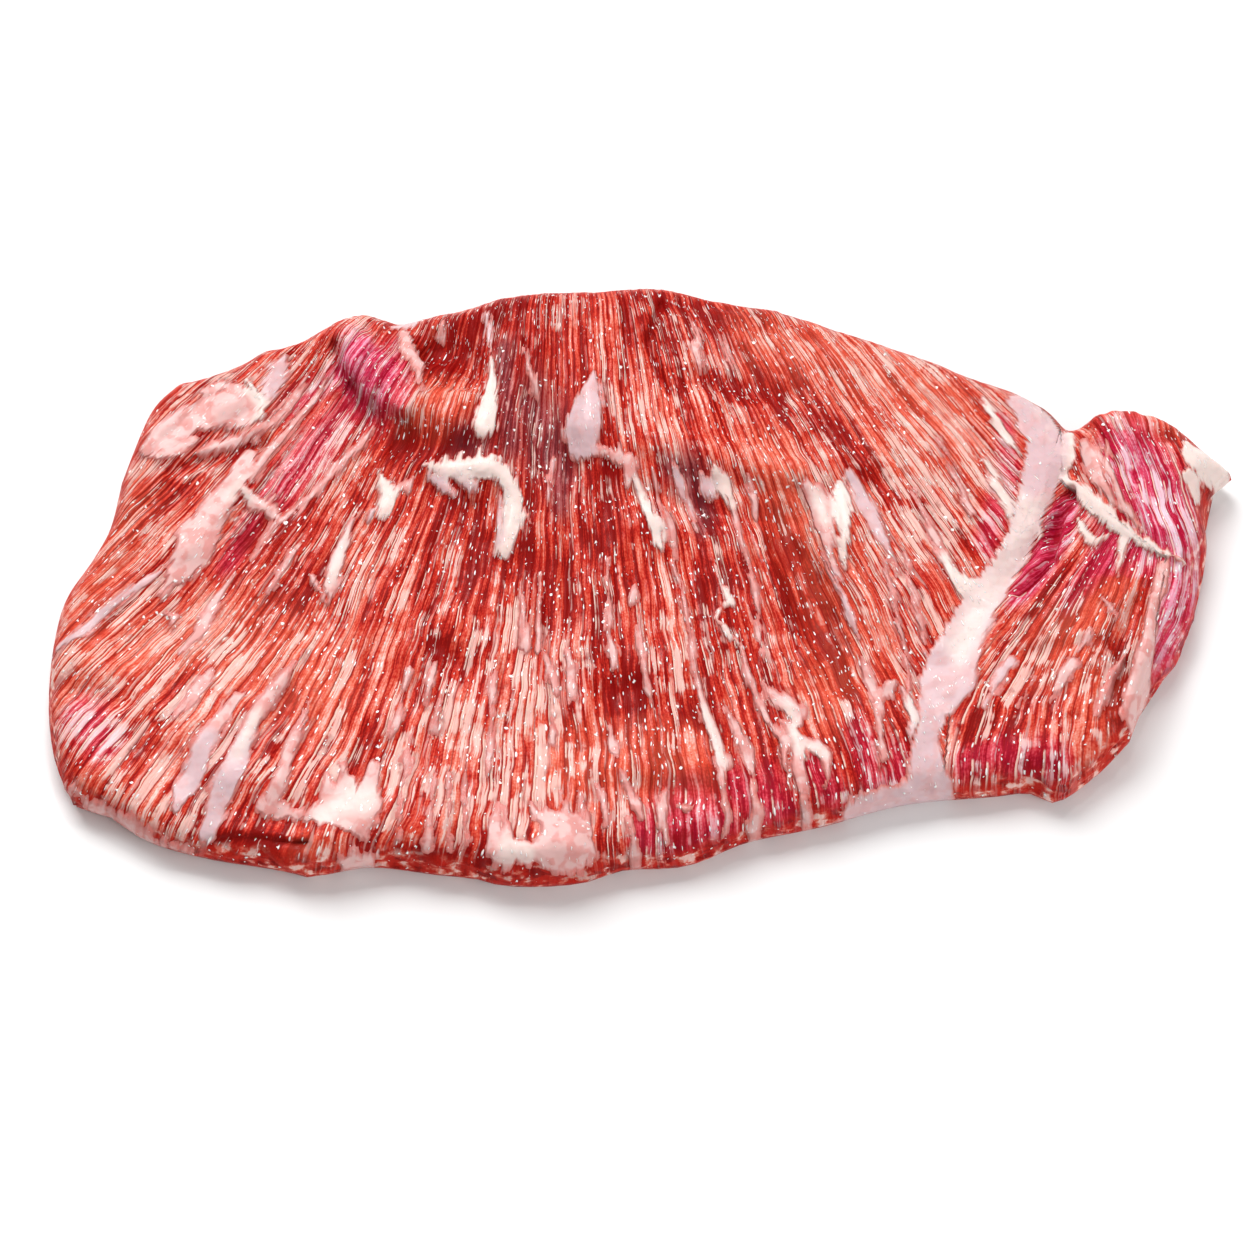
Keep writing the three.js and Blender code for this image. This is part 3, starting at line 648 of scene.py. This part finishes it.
WHITE = {
    # At the cream tip the whitening also paints light onto a side that faces away from the lamps.
    "cream tip": [(1190, 450, 12), (1215, 466, 12)],
    "flap roll": [(1070, 484, 4), (1095, 506, 6), (1130, 536, 5), (1160, 552, 4)],
    "seam": [(1030, 510, 8), (1012, 560, 8), (985, 600, 9), (960, 650, 10)],
    "piece left of the seam": [(906, 700, 4), (914, 720, 4)],
    "cream patch": [(950, 566, 6), (980, 596, 8)],
    "right patch": [(816, 496, 4), (824, 516, 5)],
    "bright right patch": [(842, 490, 6), (843, 520, 6)],
    "hook": [(450, 470, 4), (485, 468, 5), (508, 486, 5), (514, 520, 5)],
    "long drip": [(645, 505, 4), (660, 540, 4)],
    "pointed drip": [(344, 542, 4), (332, 580, 4)],
    "drip of the roll": [(492, 380, 4), (487, 420, 6)],
    "bottom left": [(325, 815, 8), (350, 800, 9), (370, 800, 6)],
    "bottom middle": [(505, 846, 5), (530, 850, 4)],
    "second low drip": [(706, 715, 4), (723, 762, 5)],
    "large low drip": [(790, 712, 4), (800, 748, 5), (826, 754, 3)],
    "big low left strand": [(255, 718, 4), (240, 750, 5)],
    "branch": [(235, 490, 5), (250, 500, 3)],
    "triangle": [(390, 498, 4)],
    "white curl": [(250, 388, 3), (262, 404, 3)],
}
ALL_STAINS_AND_PAINTED_LIGHT = {"rose": ROSE, "magenta": MAGENTA, "plum": PLUM, "dark": DARK, "warm": WARM, "pale": PALE,
              "deep": DEEP, "light": LIGHT, "white": WHITE}
print(sum(map(len, ALL_STAINS_AND_PAINTED_LIGHT.values())), "stains_and_painted_light")

# %% Folds
# Each fold or hollow is its height in millimetres, and a path of column, row and width.
FOLDS = {
    "rolled fold": (3.0, [(350, 340, 10), (366, 368, 15), (388, 396, 13), (404, 404, 8)]),
    "hollow before the roll": (-1.6, [(334, 346, 5), (338, 368, 6), (347, 388, 7)]),
    "ribbed fold": (2.2, [(412, 404, 11), (444, 404, 13), (466, 400, 9)]),
    "hollow under the folds": (-1.2, [(402, 444, 10), (444, 450, 10), (478, 446, 8)]),
    "far hollow": (-1.8, [(434, 350, 11), (462, 350, 12), (476, 370, 8)]),
    "crest over the hollow": (1.2, [(440, 325, 6), (500, 308, 8)]),
    "purple hollow": (-1.8, [(530, 400, 10), (552, 440, 14), (564, 474, 10)]),
    "fold right of the link": (1.6, [(640, 440, 10), (690, 448, 12), (750, 462, 12), (800, 470, 10)]),
    "hollow under that fold": (-1.4, [(646, 492, 8), (700, 510, 9), (745, 520, 9), (790, 520, 9)]),
    "right valley": (-1.8, [(780, 540, 10), (800, 585, 13), (820, 630, 13), (838, 680, 9)]),
    "crest right of the valley": (1.2, [(846, 500, 8), (858, 560, 9), (872, 620, 9), (884, 680, 8)]),
    "hollow across the far side": (-1.0, [(690, 376, 8), (740, 388, 9), (790, 396, 9)]),
    "far slit": (-1.0, [(622, 290, 2), (627, 342, 2)]),
    "far crease": (-1.2, [(662, 298, 3), (648, 340, 3), (655, 364, 3), (669, 390, 2.4)]),
    "far lump": (0.9, [(715, 312, 5), (745, 318, 6)]),
    "crease": (-3.0, [(1070, 492, 4), (1056, 530, 5), (1048, 558, 5), (1020, 590, 4)]),
    "fold beside the crease": (1.6, [(1066, 500, 3), (1064, 530, 4), (1058, 556, 4)]),
    "lobe hollow": (-1.6, [(1146, 470, 16), (1160, 500, 14)]),
    "lobe's top fold": (1.2, [(1090, 424, 6), (1130, 418, 7), (1172, 428, 7)]),
    "inside of the lip": (-1.6, [(1140, 600, 6), (1124, 650, 8), (1112, 700, 8)]),
    "lip roll": (1.6, [(1150, 600, 5), (1142, 650, 7), (1132, 700, 8), (1126, 724, 6)]),
    "flap step": (-1.0, [(1020, 655, 5), (1070, 648, 6), (1110, 640, 5)]),
    "low ridge under the centre": (1.0, [(600, 765, 10), (680, 768, 12), (700, 772, 8)]),
    "hollow under the low ridge": (-1.2, [(640, 790, 8), (700, 792, 10)]),
    "round lump at the foot": (1.4, [(716, 836, 5), (728, 838, 4)]),
    "slit of the pocket": (-2.0, [(207, 842, 2.4), (235, 841, 4), (270, 843, 4.4), (303, 843, 3)]),
    "near left bulge": (1.2, [(100, 670, 9), (125, 672, 8)]),
    "hollow beside it": (-1.0, [(70, 690, 6), (95, 700, 8), (130, 700, 7)]),
    "shoulder hollow": (-1.2, [(170, 470, 5), (220, 456, 5), (262, 440, 5)]),
    "branch hollow": (-1.2, [(262, 528, 6), (240, 550, 9)]),
    "blot hollow": (-1.0, [(440, 648, 8), (462, 666, 7)]),
    "middle blot hollow": (-1.0, [(608, 692, 8), (634, 686, 7)]),
    "hook hollow": (-1.0, [(470, 510, 10), (484, 540, 8)]),
}
print(len(FOLDS), "folds")

# %% Fields from the marks
fat = np.full(count, NO_MARK)
cream = np.zeros(count)
lilac = np.zeros(count)
FAT_RISE = 0.5  # the fat lies on the meat as a film, so it swells by half of its marked height
swell = np.zeros(count)


def inside(depth, half):
    return depth


def strength(depth, half):
    return smoothstep(depth / half, -0.1, 0.9)


def soft_edge(depth, half):
    return smoothstep(depth, -1.2, 0.6)


for marks, tone in ((PINK_FAT, None), (CREAM_FAT, cream), (LILAC_FAT, lilac)):
    for height, path in marks.values():
        lay(fat, path, inside, along_counts=1)
        film = height * FAT_RISE
        lay(swell, path, lambda depth, half: film * smoothstep(depth / half, -0.5, 1), along_counts=1)
        if tone is not None:
            lay(tone, path, soft_edge, along_counts=1)

keep("fat", fat)
keep("cream", cream)
keep("lilac", lilac)
stains_and_painted_light = {}
for name, marks in ALL_STAINS_AND_PAINTED_LIGHT.items():
    stains_and_painted_light[name] = np.zeros(count)
    for path in marks.values():
        lay(stains_and_painted_light[name], path, strength)
    keep(name, stains_and_painted_light[name])
print("fat covers", round(100 * np.mean(fat > 0)), "% of the points")

folds = np.zeros(count)
for height, path in FOLDS.values():
    fold = np.zeros(count)
    lay(fold, path, strength, along_counts=1)
    folds += height * fold
print("folds from", round(folds.min(), 1), "to", round(folds.max(), 1), "mm")

# %% [markdown]
# ## Relief
#
# Strands of muscle stand out as rounded ridges with furrows between them, and fat swells over
# them. A displacement modifier would need a texture, so the points are moved here, along their
# normals, by smooth random ridges in the fibre numbers and by the height of the fat marks. The
# ridges die out at the outline, so that it stays as smooth as the real one.

# %% Distance from the outline
RIM_WIDTH = 6
edge_points = plan[outline_points]
edge = np.empty(count)
for part in np.array_split(np.arange(count), 60):
    gaps = plan[part][:, None] - edge_points[None]
    edge[part] = np.sqrt((gaps**2).sum(axis=2).min(axis=1))
inner = smoothstep(edge, 0, RIM_WIDTH)

# %% Push the strands and the fat up
BUNDLES = ((3.1, 26, 0.5), (1.7, 15, 0.34))  # width, length and height of the ridges
LUMPS = ((9, 0.4), (3.5, 0.2))  # size and height of the soft unevenness
CRAGS = ((5, 0.9), (2.2, 0.45))  # the same for the side faces
FAT_LUMPS = ((5, 0.25), (2.6, 0.12))  # the same for the fat
DARK_DIP = 0.4


def lattice(i, j):
    """A fixed random number from -1 to 1 for each pair of whole numbers."""
    wave = np.sin(i * 127.1 + j * 311.7) * 43758.5453
    return 2 * (wave - np.floor(wave)) - 1


def noise(a, b):
    """Smooth random values from -1 to 1."""
    i, j = np.floor(a), np.floor(b)
    s, t = smoothstep(a - i, 0, 1), smoothstep(b - j, 0, 1)
    low = lattice(i, j) * (1 - s) + lattice(i + 1, j) * s
    high = lattice(i, j + 1) * (1 - s) + lattice(i + 1, j + 1) * s
    return low * (1 - t) + high * t


normals = np.empty(count * 3)
meat.data.vertex_normals.foreach_get("vector", normals)
normals = normals.reshape(count, 3)
top = smoothstep(normals[:, 2], -0.1, 0.35)
side = 1 - smoothstep(normals[:, 2], 0.3, 0.75)
near_side = side * smoothstep(-normals[:, 1], 0, 0.5)
keep("side", side)
keep("far_rim", (1 - smoothstep(edge, 0.5, 3.5)) * smoothstep(normals[:, 1], 0, 0.4))
bare = 1 - smoothstep(fat, -0.5, 0.8)
relief = np.zeros(count)
for width, length, height in BUNDLES:
    ridge = 1 - 2 * np.abs(noise(across / width, along / length))
    relief += height * (ridge - 0.5) * bare * inner
for size, height in LUMPS:
    relief += height * noise(x / size + 31, y / size + 17) * inner
for size, height in CRAGS:
    relief += height * noise((x + z) / size + 5, (y - 2 * z) / size + 9) * near_side
fatty = smoothstep(fat, 0, 1)
for size, height in FAT_LUMPS:
    relief += height * noise(x / size + 3, y / size + 51) * fatty
relief += swell + folds * inner - DARK_DIP * stains_and_painted_light["dark"] * bare
moved = points + normals * (relief * top)[:, None]
box_low, box_high = (np.array(corner) / MM for corner in cad_box)
moved = np.clip(moved, box_low, box_high)
meat.data.vertices.foreach_set("co", (moved * MM).ravel())
meat.data.update()
meat.data.shade_smooth()
print("relief from", round(relief.min(), 2), "to", round(relief.max(), 2), "mm")

# %% [markdown]
# ## Writing a material as arithmetic
#
# A meat material is mostly sums and thresholds of patterns. A small class wraps a node's output,
# so that an expression such as 1 - mask adds the Math node that it stands for.


# %% Wires
class Wire:
    """One output in the material that is being made. Arithmetic on it adds Math nodes."""

    tree = None

    def __init__(self, socket):
        self.socket = socket

    @classmethod
    def node(cls, kind, settings, inputs, output=0):
        """Adds a node: its settings first, and then the values or wires of its inputs."""
        node = cls.tree.nodes.new(kind)
        for name, value in settings.items():
            setattr(node, name, value)
        for name, value in inputs.items():
            if isinstance(value, Wire):
                cls.tree.links.new(value.socket, node.inputs[name])
            else:
                node.inputs[name].default_value = value
        return cls(node.outputs[output])

    def math(self, operation, other, swap=False):
        pair = (other, self) if swap else (self, other)
        return Wire.node("ShaderNodeMath", {"operation": operation}, dict(enumerate(pair)))

    def __add__(self, other):
        return self.math("ADD", other)

    def __sub__(self, other):
        return self.math("SUBTRACT", other)

    def __rsub__(self, other):
        return self.math("SUBTRACT", other, swap=True)

    def __mul__(self, other):
        return self.math("MULTIPLY", other)

    def __truediv__(self, other):
        return self.math("DIVIDE", other)

    __radd__ = __add__
    __rmul__ = __mul__


def rise(value, low, high):
    """0 below low, 1 above high, and smooth between them."""
    inputs = {"Value": value, "From Min": low, "From Max": high}
    return Wire.node("ShaderNodeMapRange", {"interpolation_type": "SMOOTHSTEP"}, inputs)


def paint(below, above, mask, way="MIX"):
    """One colour over another, where the mask is 1."""
    settings = {"data_type": "RGBA", "blend_type": way}
    return Wire.node("ShaderNodeMix", settings, {0: mask, 6: below, 7: above}, output=2)


def vector(a, b, c=0.0):
    return Wire.node("ShaderNodeCombineXYZ", {}, {0: a, 1: b, 2: c})


def clouds(place, scale, detail=2.0, roughness=0.5, space="3D"):
    """Smooth noise around 0.5."""
    inputs = {"Vector": place, "Scale": scale, "Detail": detail, "Roughness": roughness}
    return Wire.node("ShaderNodeTexNoise", {"noise_dimensions": space}, inputs)


def streaks(width, length, detail=2.0, roughness=0.5):
    """Smooth noise around 0.5 that is drawn out along the fibres."""
    drawn_out = vector(number / width, fibre_y / length)
    return clouds(drawn_out, 1.0, detail, roughness, space="2D")


def parts_of(colour):
    """The red, green and blue of a colour, as three wires."""
    split = Wire.node("ShaderNodeSeparateColor", {}, {0: colour}).socket.node
    return [Wire(out) for out in split.outputs]


def cells(place, scale=1.0, space="2D"):
    """Random cells: the distance to the cell's middle, its three random numbers and its node."""
    settings = {"voronoi_dimensions": space, "feature": "F1"}
    inputs = {"W" if space == "1D" else "Vector": place, "Scale": scale}
    middle = Wire.node("ShaderNodeTexVoronoi", settings, inputs, output="Distance")
    outputs = middle.socket.node.outputs
    return middle, parts_of(Wire(outputs["Color"])), outputs


def cell_edge(place, space="2D"):
    """The distance to the edge of the same cells."""
    settings = {"voronoi_dimensions": space, "feature": "DISTANCE_TO_EDGE"}
    inputs = {"W" if space == "1D" else "Vector": place, "Scale": 1.0}
    return Wire.node("ShaderNodeTexVoronoi", settings, inputs, output="Distance")


def mark_field(name):
    settings = {"attribute_type": "GEOMETRY", "attribute_name": name}
    return Wire.node("ShaderNodeAttribute", settings, {}, output="Fac")


# %% [markdown]
# ## The meat
#
# Under a lens the muscle is made of long straight strands, each with its own red. Along one edge of
# each strand runs a dark line of painted shade, and along the other a thin line of cream that is partly
# connective tissue and partly a painted highlight; each strand is also painted lighter in its middle
# than at its edges, as a round strand is lit. Voronoi cells of one dimension cut the fibre number into
# strips of uneven width, and noise that is read with the strip's own random number changes along each
# strip by itself, so neighbours keep a crisp edge. Finer stretched cells are the threads inside a
# strand. The dark, deep, plum and light fields paint shade and light into hollows, creases and folds.
# The larger fat comes from the mark fields, whose edges are made ragged by noise, and a painted shadow
# darkens the meat just outside them. Side faces are blotched instead of striped, because they are cut
# across the strands, and drops of juice lie on everything as tiny domes, painted near white as glints.

# %% Meat material
LIGHT_GAIN = 1.2  # how much brighter a surface looks in this light than its own colour


def look(red, green, blue):
    """The surface colour that looks like this one, from 0 to 255, under the studio's light."""
    def linear(level):
        level /= 255
        return level / 12.92 if level < 0.04045 else ((level + 0.055) / 1.055) ** 2.4
    return (*(linear(level) / LIGHT_GAIN for level in (red, green, blue)), 1)


DEEP_RED = look(138, 14, 10)
RED = look(196, 38, 26)
ORANGE_RED = look(219, 80, 60)
SALMON = look(237, 132, 112)
PALE_STRAND = look(247, 202, 192)
WARM_RED = look(238, 112, 80)
CREAM_LINE = look(253, 222, 206)
LILAC_STRAND = look(246, 212, 224)
ROSE_DEEP = look(182, 16, 56)
ROSE_RED = look(222, 66, 106)
ROSE_PALE = look(244, 160, 188)
PLUM_DEEP = look(100, 34, 40)
PLUM_RED = look(158, 78, 84)
# a dark blood red, also used to paint shade in the furrows and round the fat
BLOOD_AND_SHADE_RED = look(140, 8, 8)
RIM_BROWN = look(196, 56, 34)
FAT_WHITE = look(243, 224, 217)
FAT_PINK = look(232, 186, 182)
FAT_EDGE = look(218, 124, 116)
FAT_CREAM = look(241, 214, 206)
FAT_LILAC = look(220, 186, 190)
# a painted highlight colour for the drops of juice
GLINT_WHITE = look(268, 262, 260)

raw_pork = bpy.data.materials.new("raw pork")
raw_pork.use_nodes = True
Wire.tree = raw_pork.node_tree
skin = Wire.tree.nodes["Principled BSDF"]

place = Wire.node("ShaderNodeTexCoord", {}, {}, output="Object")
place = Wire.node("ShaderNodeVectorMath", {"operation": "SCALE"}, {0: place, "Scale": 1 / MM})
fibre_x, fibre_y, _ = parts_of(Wire.node("ShaderNodeUVMap", {"uv_map": "grain"}, {}))
fibre_x = fibre_x * UV_UNIT
fibre_y = fibre_y * UV_UNIT

bend = clouds(place, 1 / 25)
shake = clouds(place, 1 / 5)
number = fibre_x + (bend - 0.5) * 4.0 + (shake - 0.5) * 0.7
patches = clouds(place, 1 / 12, detail=3)
clots = clouds(place, 1 / 3.2, detail=3)
hair = streaks(0.3, 8, detail=1)
wisps = streaks(1.3, 20, detail=3, roughness=0.6)
bundles = streaks(4.5, 40, detail=2)
weave, _, _ = cells(vector(number / 0.45, fibre_y / 0.7))
rose, magenta, plum, dark, warm = map(mark_field, ("rose", "magenta", "plum", "dark", "warm"))
rosy_share = rise(rose * 0.5 + magenta * 0.9, 0.0, 0.9)
pale, deep, light = map(mark_field, ("pale", "deep", "light"))
print(len(Wire.tree.nodes), "nodes after the base")

# %% Strands and threads
STRAND_WIDTH = 2.0
THREAD_WIDTH = 0.5

strand_at = number / STRAND_WIDTH
_, strand_random, strand_outputs = cells(strand_at, space="1D")
strand_edge = cell_edge(strand_at, space="1D")
right_half = rise(strand_at - Wire(strand_outputs["W"]), -0.03, 0.03)
strand_run = clouds(vector(strand_random[0] * 97, fibre_y / 26), 1.0, detail=3, space="2D")
strand_run_too = clouds(vector(strand_random[1] * 61, fibre_y / 15), 1.0, detail=3, space="2D")
thread_place = vector(number / THREAD_WIDTH, fibre_y / 14)
thread_edge = cell_edge(thread_place)
_, thread_random, _ = cells(thread_place)

tone = 0.43 + (strand_run - 0.5) * 1.5 + (wisps - 0.5) * 1.7 + (hair - 0.5) * 0.9
tone = tone + (thread_random[0] - 0.5) * 0.24 + (0.45 - weave) * 0.4
# Painted shade and light: each strand is darker at its edges and lighter in its middle, as a round strand
# is lit.
tone = tone + (rise(strand_edge, 0.0, 0.45) - 0.6) * 0.3
# The dark field paints shade into hollows and creases, as well as the meat's own dark blots.
tone = tone + (bundles - 0.5) * 0.9 + (patches - 0.5) * 0.7 + (clots - 0.5) * 0.5 + warm * 0.06 - dark * 0.3
# The light field paints light on folds and rims as well as paler tone, and the deep field paints shade
# under folds and along the near edge as well as deeper red.
tone = tone + light * 0.12 - deep * 0.17
colour = paint(DEEP_RED, RED, rise(tone, -0.1, 0.34))
colour = paint(colour, ORANGE_RED, rise(tone, 0.28, 0.56))
colour = paint(colour, SALMON, rise(tone, 0.56, 0.86))
colour = paint(colour, PALE_STRAND, rise(tone, 0.86, 1.25))
colour = paint(colour, WARM_RED, warm * 0.25)
rosy = paint(ROSE_DEEP, ROSE_RED, rise(tone, 0.1, 0.5))
rosy = paint(rosy, ROSE_PALE, rise(tone, 0.55, 0.95))
colour = paint(colour, rosy, rosy_share * 0.9)
# The plum field paints brown purple, partly as the shade of hollows.
colour = paint(colour, paint(PLUM_DEEP, PLUM_RED, rise(tone, 0.1, 0.8)), plum * 0.85)

fray = (hair - 0.5) * 0.4
streak = strand_run_too + pale * 0.11 - dark * 0.06 - deep * 0.08 + strand_edge * 0.35 - 0.09
streak = streak + (patches - 0.5) * 0.3 + (clots - 0.5) * 0.3 + fray
pale_strand = rise(streak, 0.61, 0.7) * rise(strand_edge + fray, 0.04, 0.26)
thread = thread_random[1] + (clots - 0.5) * 0.8 + pale * 0.15 - dark * 0.1 + (patches - 0.5) * 0.5
pale_thread = rise(thread, 0.8, 0.92) * rise(thread_edge, 0.02, 0.2)
line_on = rise(strand_run_too + (clots - 0.5) * 0.3 - dark * 0.1 - deep * 0.06, 0.5, 0.57)
# A thin pale line on one edge of each strand: partly connective tissue, partly a painted highlight on the
# strand's lit side.
tissue_and_highlight_line = (1 - rise(strand_edge, 0.08, 0.22)) * (1 - right_half) * line_on
# Painted shade: a dark line along the other edge of each strand, where its furrow would lie in shadow.
furrow_shade = (1 - rise(strand_edge, 0.04, 0.2)) * right_half * rise(strand_run, 0.36, 0.5)
pale_colour = paint(PALE_STRAND, LILAC_STRAND, rosy_share)
colour = paint(colour, pale_colour, pale_thread * 0.4)
colour = paint(colour, pale_colour, pale_strand * (hair * 0.6 + 0.5))
colour = paint(colour, CREAM_LINE, tissue_and_highlight_line * 0.8)
colour = paint(colour, BLOOD_AND_SHADE_RED, furrow_shade * (1 - rosy_share * 0.4) * 0.75)

# Random dark blood patches are the meat's own; the dark field's share paints more shade into hollows and
# creases.
blood_patch = rise(clouds(place, 1 / 7, detail=4, roughness=0.6) + dark * 0.12, 0.62, 0.7)
colour = paint(colour, BLOOD_AND_SHADE_RED, blood_patch * 0.4 + dark * 0.15)
print(len(Wire.tree.nodes), "nodes after the strands")

# %% Side faces
LAYERS_PER_MM = (0.22, 0.22, 0.4)  # flatter than they are wide
flattened = Wire.node("ShaderNodeVectorMath", {"operation": "MULTIPLY"}, {0: place, 1: LAYERS_PER_MM})
layers = clouds(flattened, 1.0, detail=4, roughness=0.6)
cut = paint(DEEP_RED, RED, rise(layers, 0.36, 0.5))
cut = paint(cut, SALMON, rise(layers + (clots - 0.5) * 0.8, 0.5, 0.66))
cut = paint(cut, PALE_STRAND, rise(layers + (clots - 0.5) * 1.2, 0.62, 0.72))
side_face = mark_field("side")
colour = paint(colour, cut, side_face * 0.85)
colour = paint(colour, RIM_BROWN, mark_field("far_rim") * 0.6)
print(len(Wire.tree.nodes), "nodes after the side faces")

# %% Fat
fingers = streaks(1.5, 10, detail=2)
waves = clouds(place, 1 / 3, detail=1)
fat_depth = mark_field("fat") + (fingers - 0.5) * 2.8 + (clots - 0.5) * 2.0
fat_mask = rise(fat_depth, -0.08, 0.12)
fat_core = rise(fat_depth, 0.0, 1.3)
# A painted shadow: the meat is darkened in a ragged band just outside the fat's edge.
painted_fat_shadow = rise(fat_depth, -1.4, -0.2) * rise(clots, 0.38, 0.55)
colour = paint(colour, BLOOD_AND_SHADE_RED, painted_fat_shadow * 0.35)
fat_colour = paint(FAT_EDGE, FAT_PINK, fat_core)
stained = rise(waves + (patches - 0.5) * 0.6 + (clots - 0.5) * 0.9, 0.46, 0.66)
fat_colour = paint(fat_colour, FAT_EDGE, stained * 0.55)
fat_colour = paint(fat_colour, FAT_CREAM, mark_field("cream") * rise(fat_depth, 0.0, 0.7))
fat_colour = paint(fat_colour, FAT_LILAC, mark_field("lilac") * fat_core * (1 - stained * 0.3))
fat_colour = paint(fat_colour, FAT_WHITE, mark_field("white") * rise(fat_depth, 0.1, 0.9) * 0.75)
colour = paint(colour, fat_colour, fat_mask)
print(len(Wire.tree.nodes), "nodes after the fat")

# %% Drops of juice, painted near white as glints
DROP_GRID = 1.5
warp = Wire.node("ShaderNodeTexNoise", {}, {"Vector": place, "Scale": 0.9}, output="Color")
warp = Wire.node("ShaderNodeVectorMath", {"operation": "SCALE"}, {0: warp, "Scale": 1.2})
drop_place = Wire.node("ShaderNodeVectorMath", {"operation": "ADD"}, {0: place, 1: warp})


def speckle(place, scale, space, share, size):
    """Small domes: one in some of the cells, of uneven size, and crowded in some places."""
    gap, random, _ = cells(place, scale, space)
    radius = random[1] * random[2] * size + size * 0.4
    crowd = random[0] + (patches - 0.5) * 1.2 + (clots - 0.5) * 0.6 + dark * 0.1
    return (1 - rise(gap / radius, 0.5, 1.0)) * rise(crowd, share, share + 0.01)


drops_and_glints = speckle(drop_place, 1 / DROP_GRID, "3D", 0.6, 0.28)
dash_glints = speckle(vector(number / 0.8, fibre_y / 3.4), 1.0, "2D", 0.66, 0.24)
glints = drops_and_glints + dash_glints * (1 - drops_and_glints) * (1 - side_face)
# Painted highlights: the drops and dashes are painted near white, as glints on wet meat, on top of their
# bump and coat.
colour = paint(colour, GLINT_WHITE, glints)
print(len(Wire.tree.nodes), "nodes after the drops")

# %% Finish
ridges = rise(strand_edge, 0.0, 0.45) * 0.13 + rise(thread_edge, 0.0, 0.4) * 0.04 + hair * 0.06
ridges = ridges + pale_strand * 0.08
fat_relief = rise(fat_depth, -0.1, 0.9) * 0.4 + waves * 0.5
height = ridges * (1 - fat_mask) + fat_relief * fat_mask + glints * 0.22
bump = Wire.node(
    "ShaderNodeBump", {}, {"Strength": 1.0, "Distance": MM, "Height": height}, output="Normal")

inputs = skin.inputs
Wire.tree.links.new(colour.socket, inputs["Base Color"])
Wire.tree.links.new(bump.socket, inputs["Normal"])
wet = rise(strand_edge, 0.15, 0.45) * rise(clots, 0.4, 0.6) * (1 - dark * 0.7)
wet = wet * (1 - fat_mask) * 0.3 + fat_mask * 0.28
wet = wet * (1 - glints) + glints
Wire.tree.links.new(wet.socket, inputs["Coat Weight"])
inputs["Coat Roughness"].default_value = 0.14
inputs["Roughness"].default_value = 0.5
inputs["Specular IOR Level"].default_value = 0.06
inputs["Subsurface Weight"].default_value = 0.2
inputs["Subsurface Radius"].default_value = (1.0, 0.3, 0.2)
inputs["Subsurface Scale"].default_value = 0.5 * MM
meat.data.materials.append(raw_pork)
print("meat material:", len(Wire.tree.nodes), "nodes")
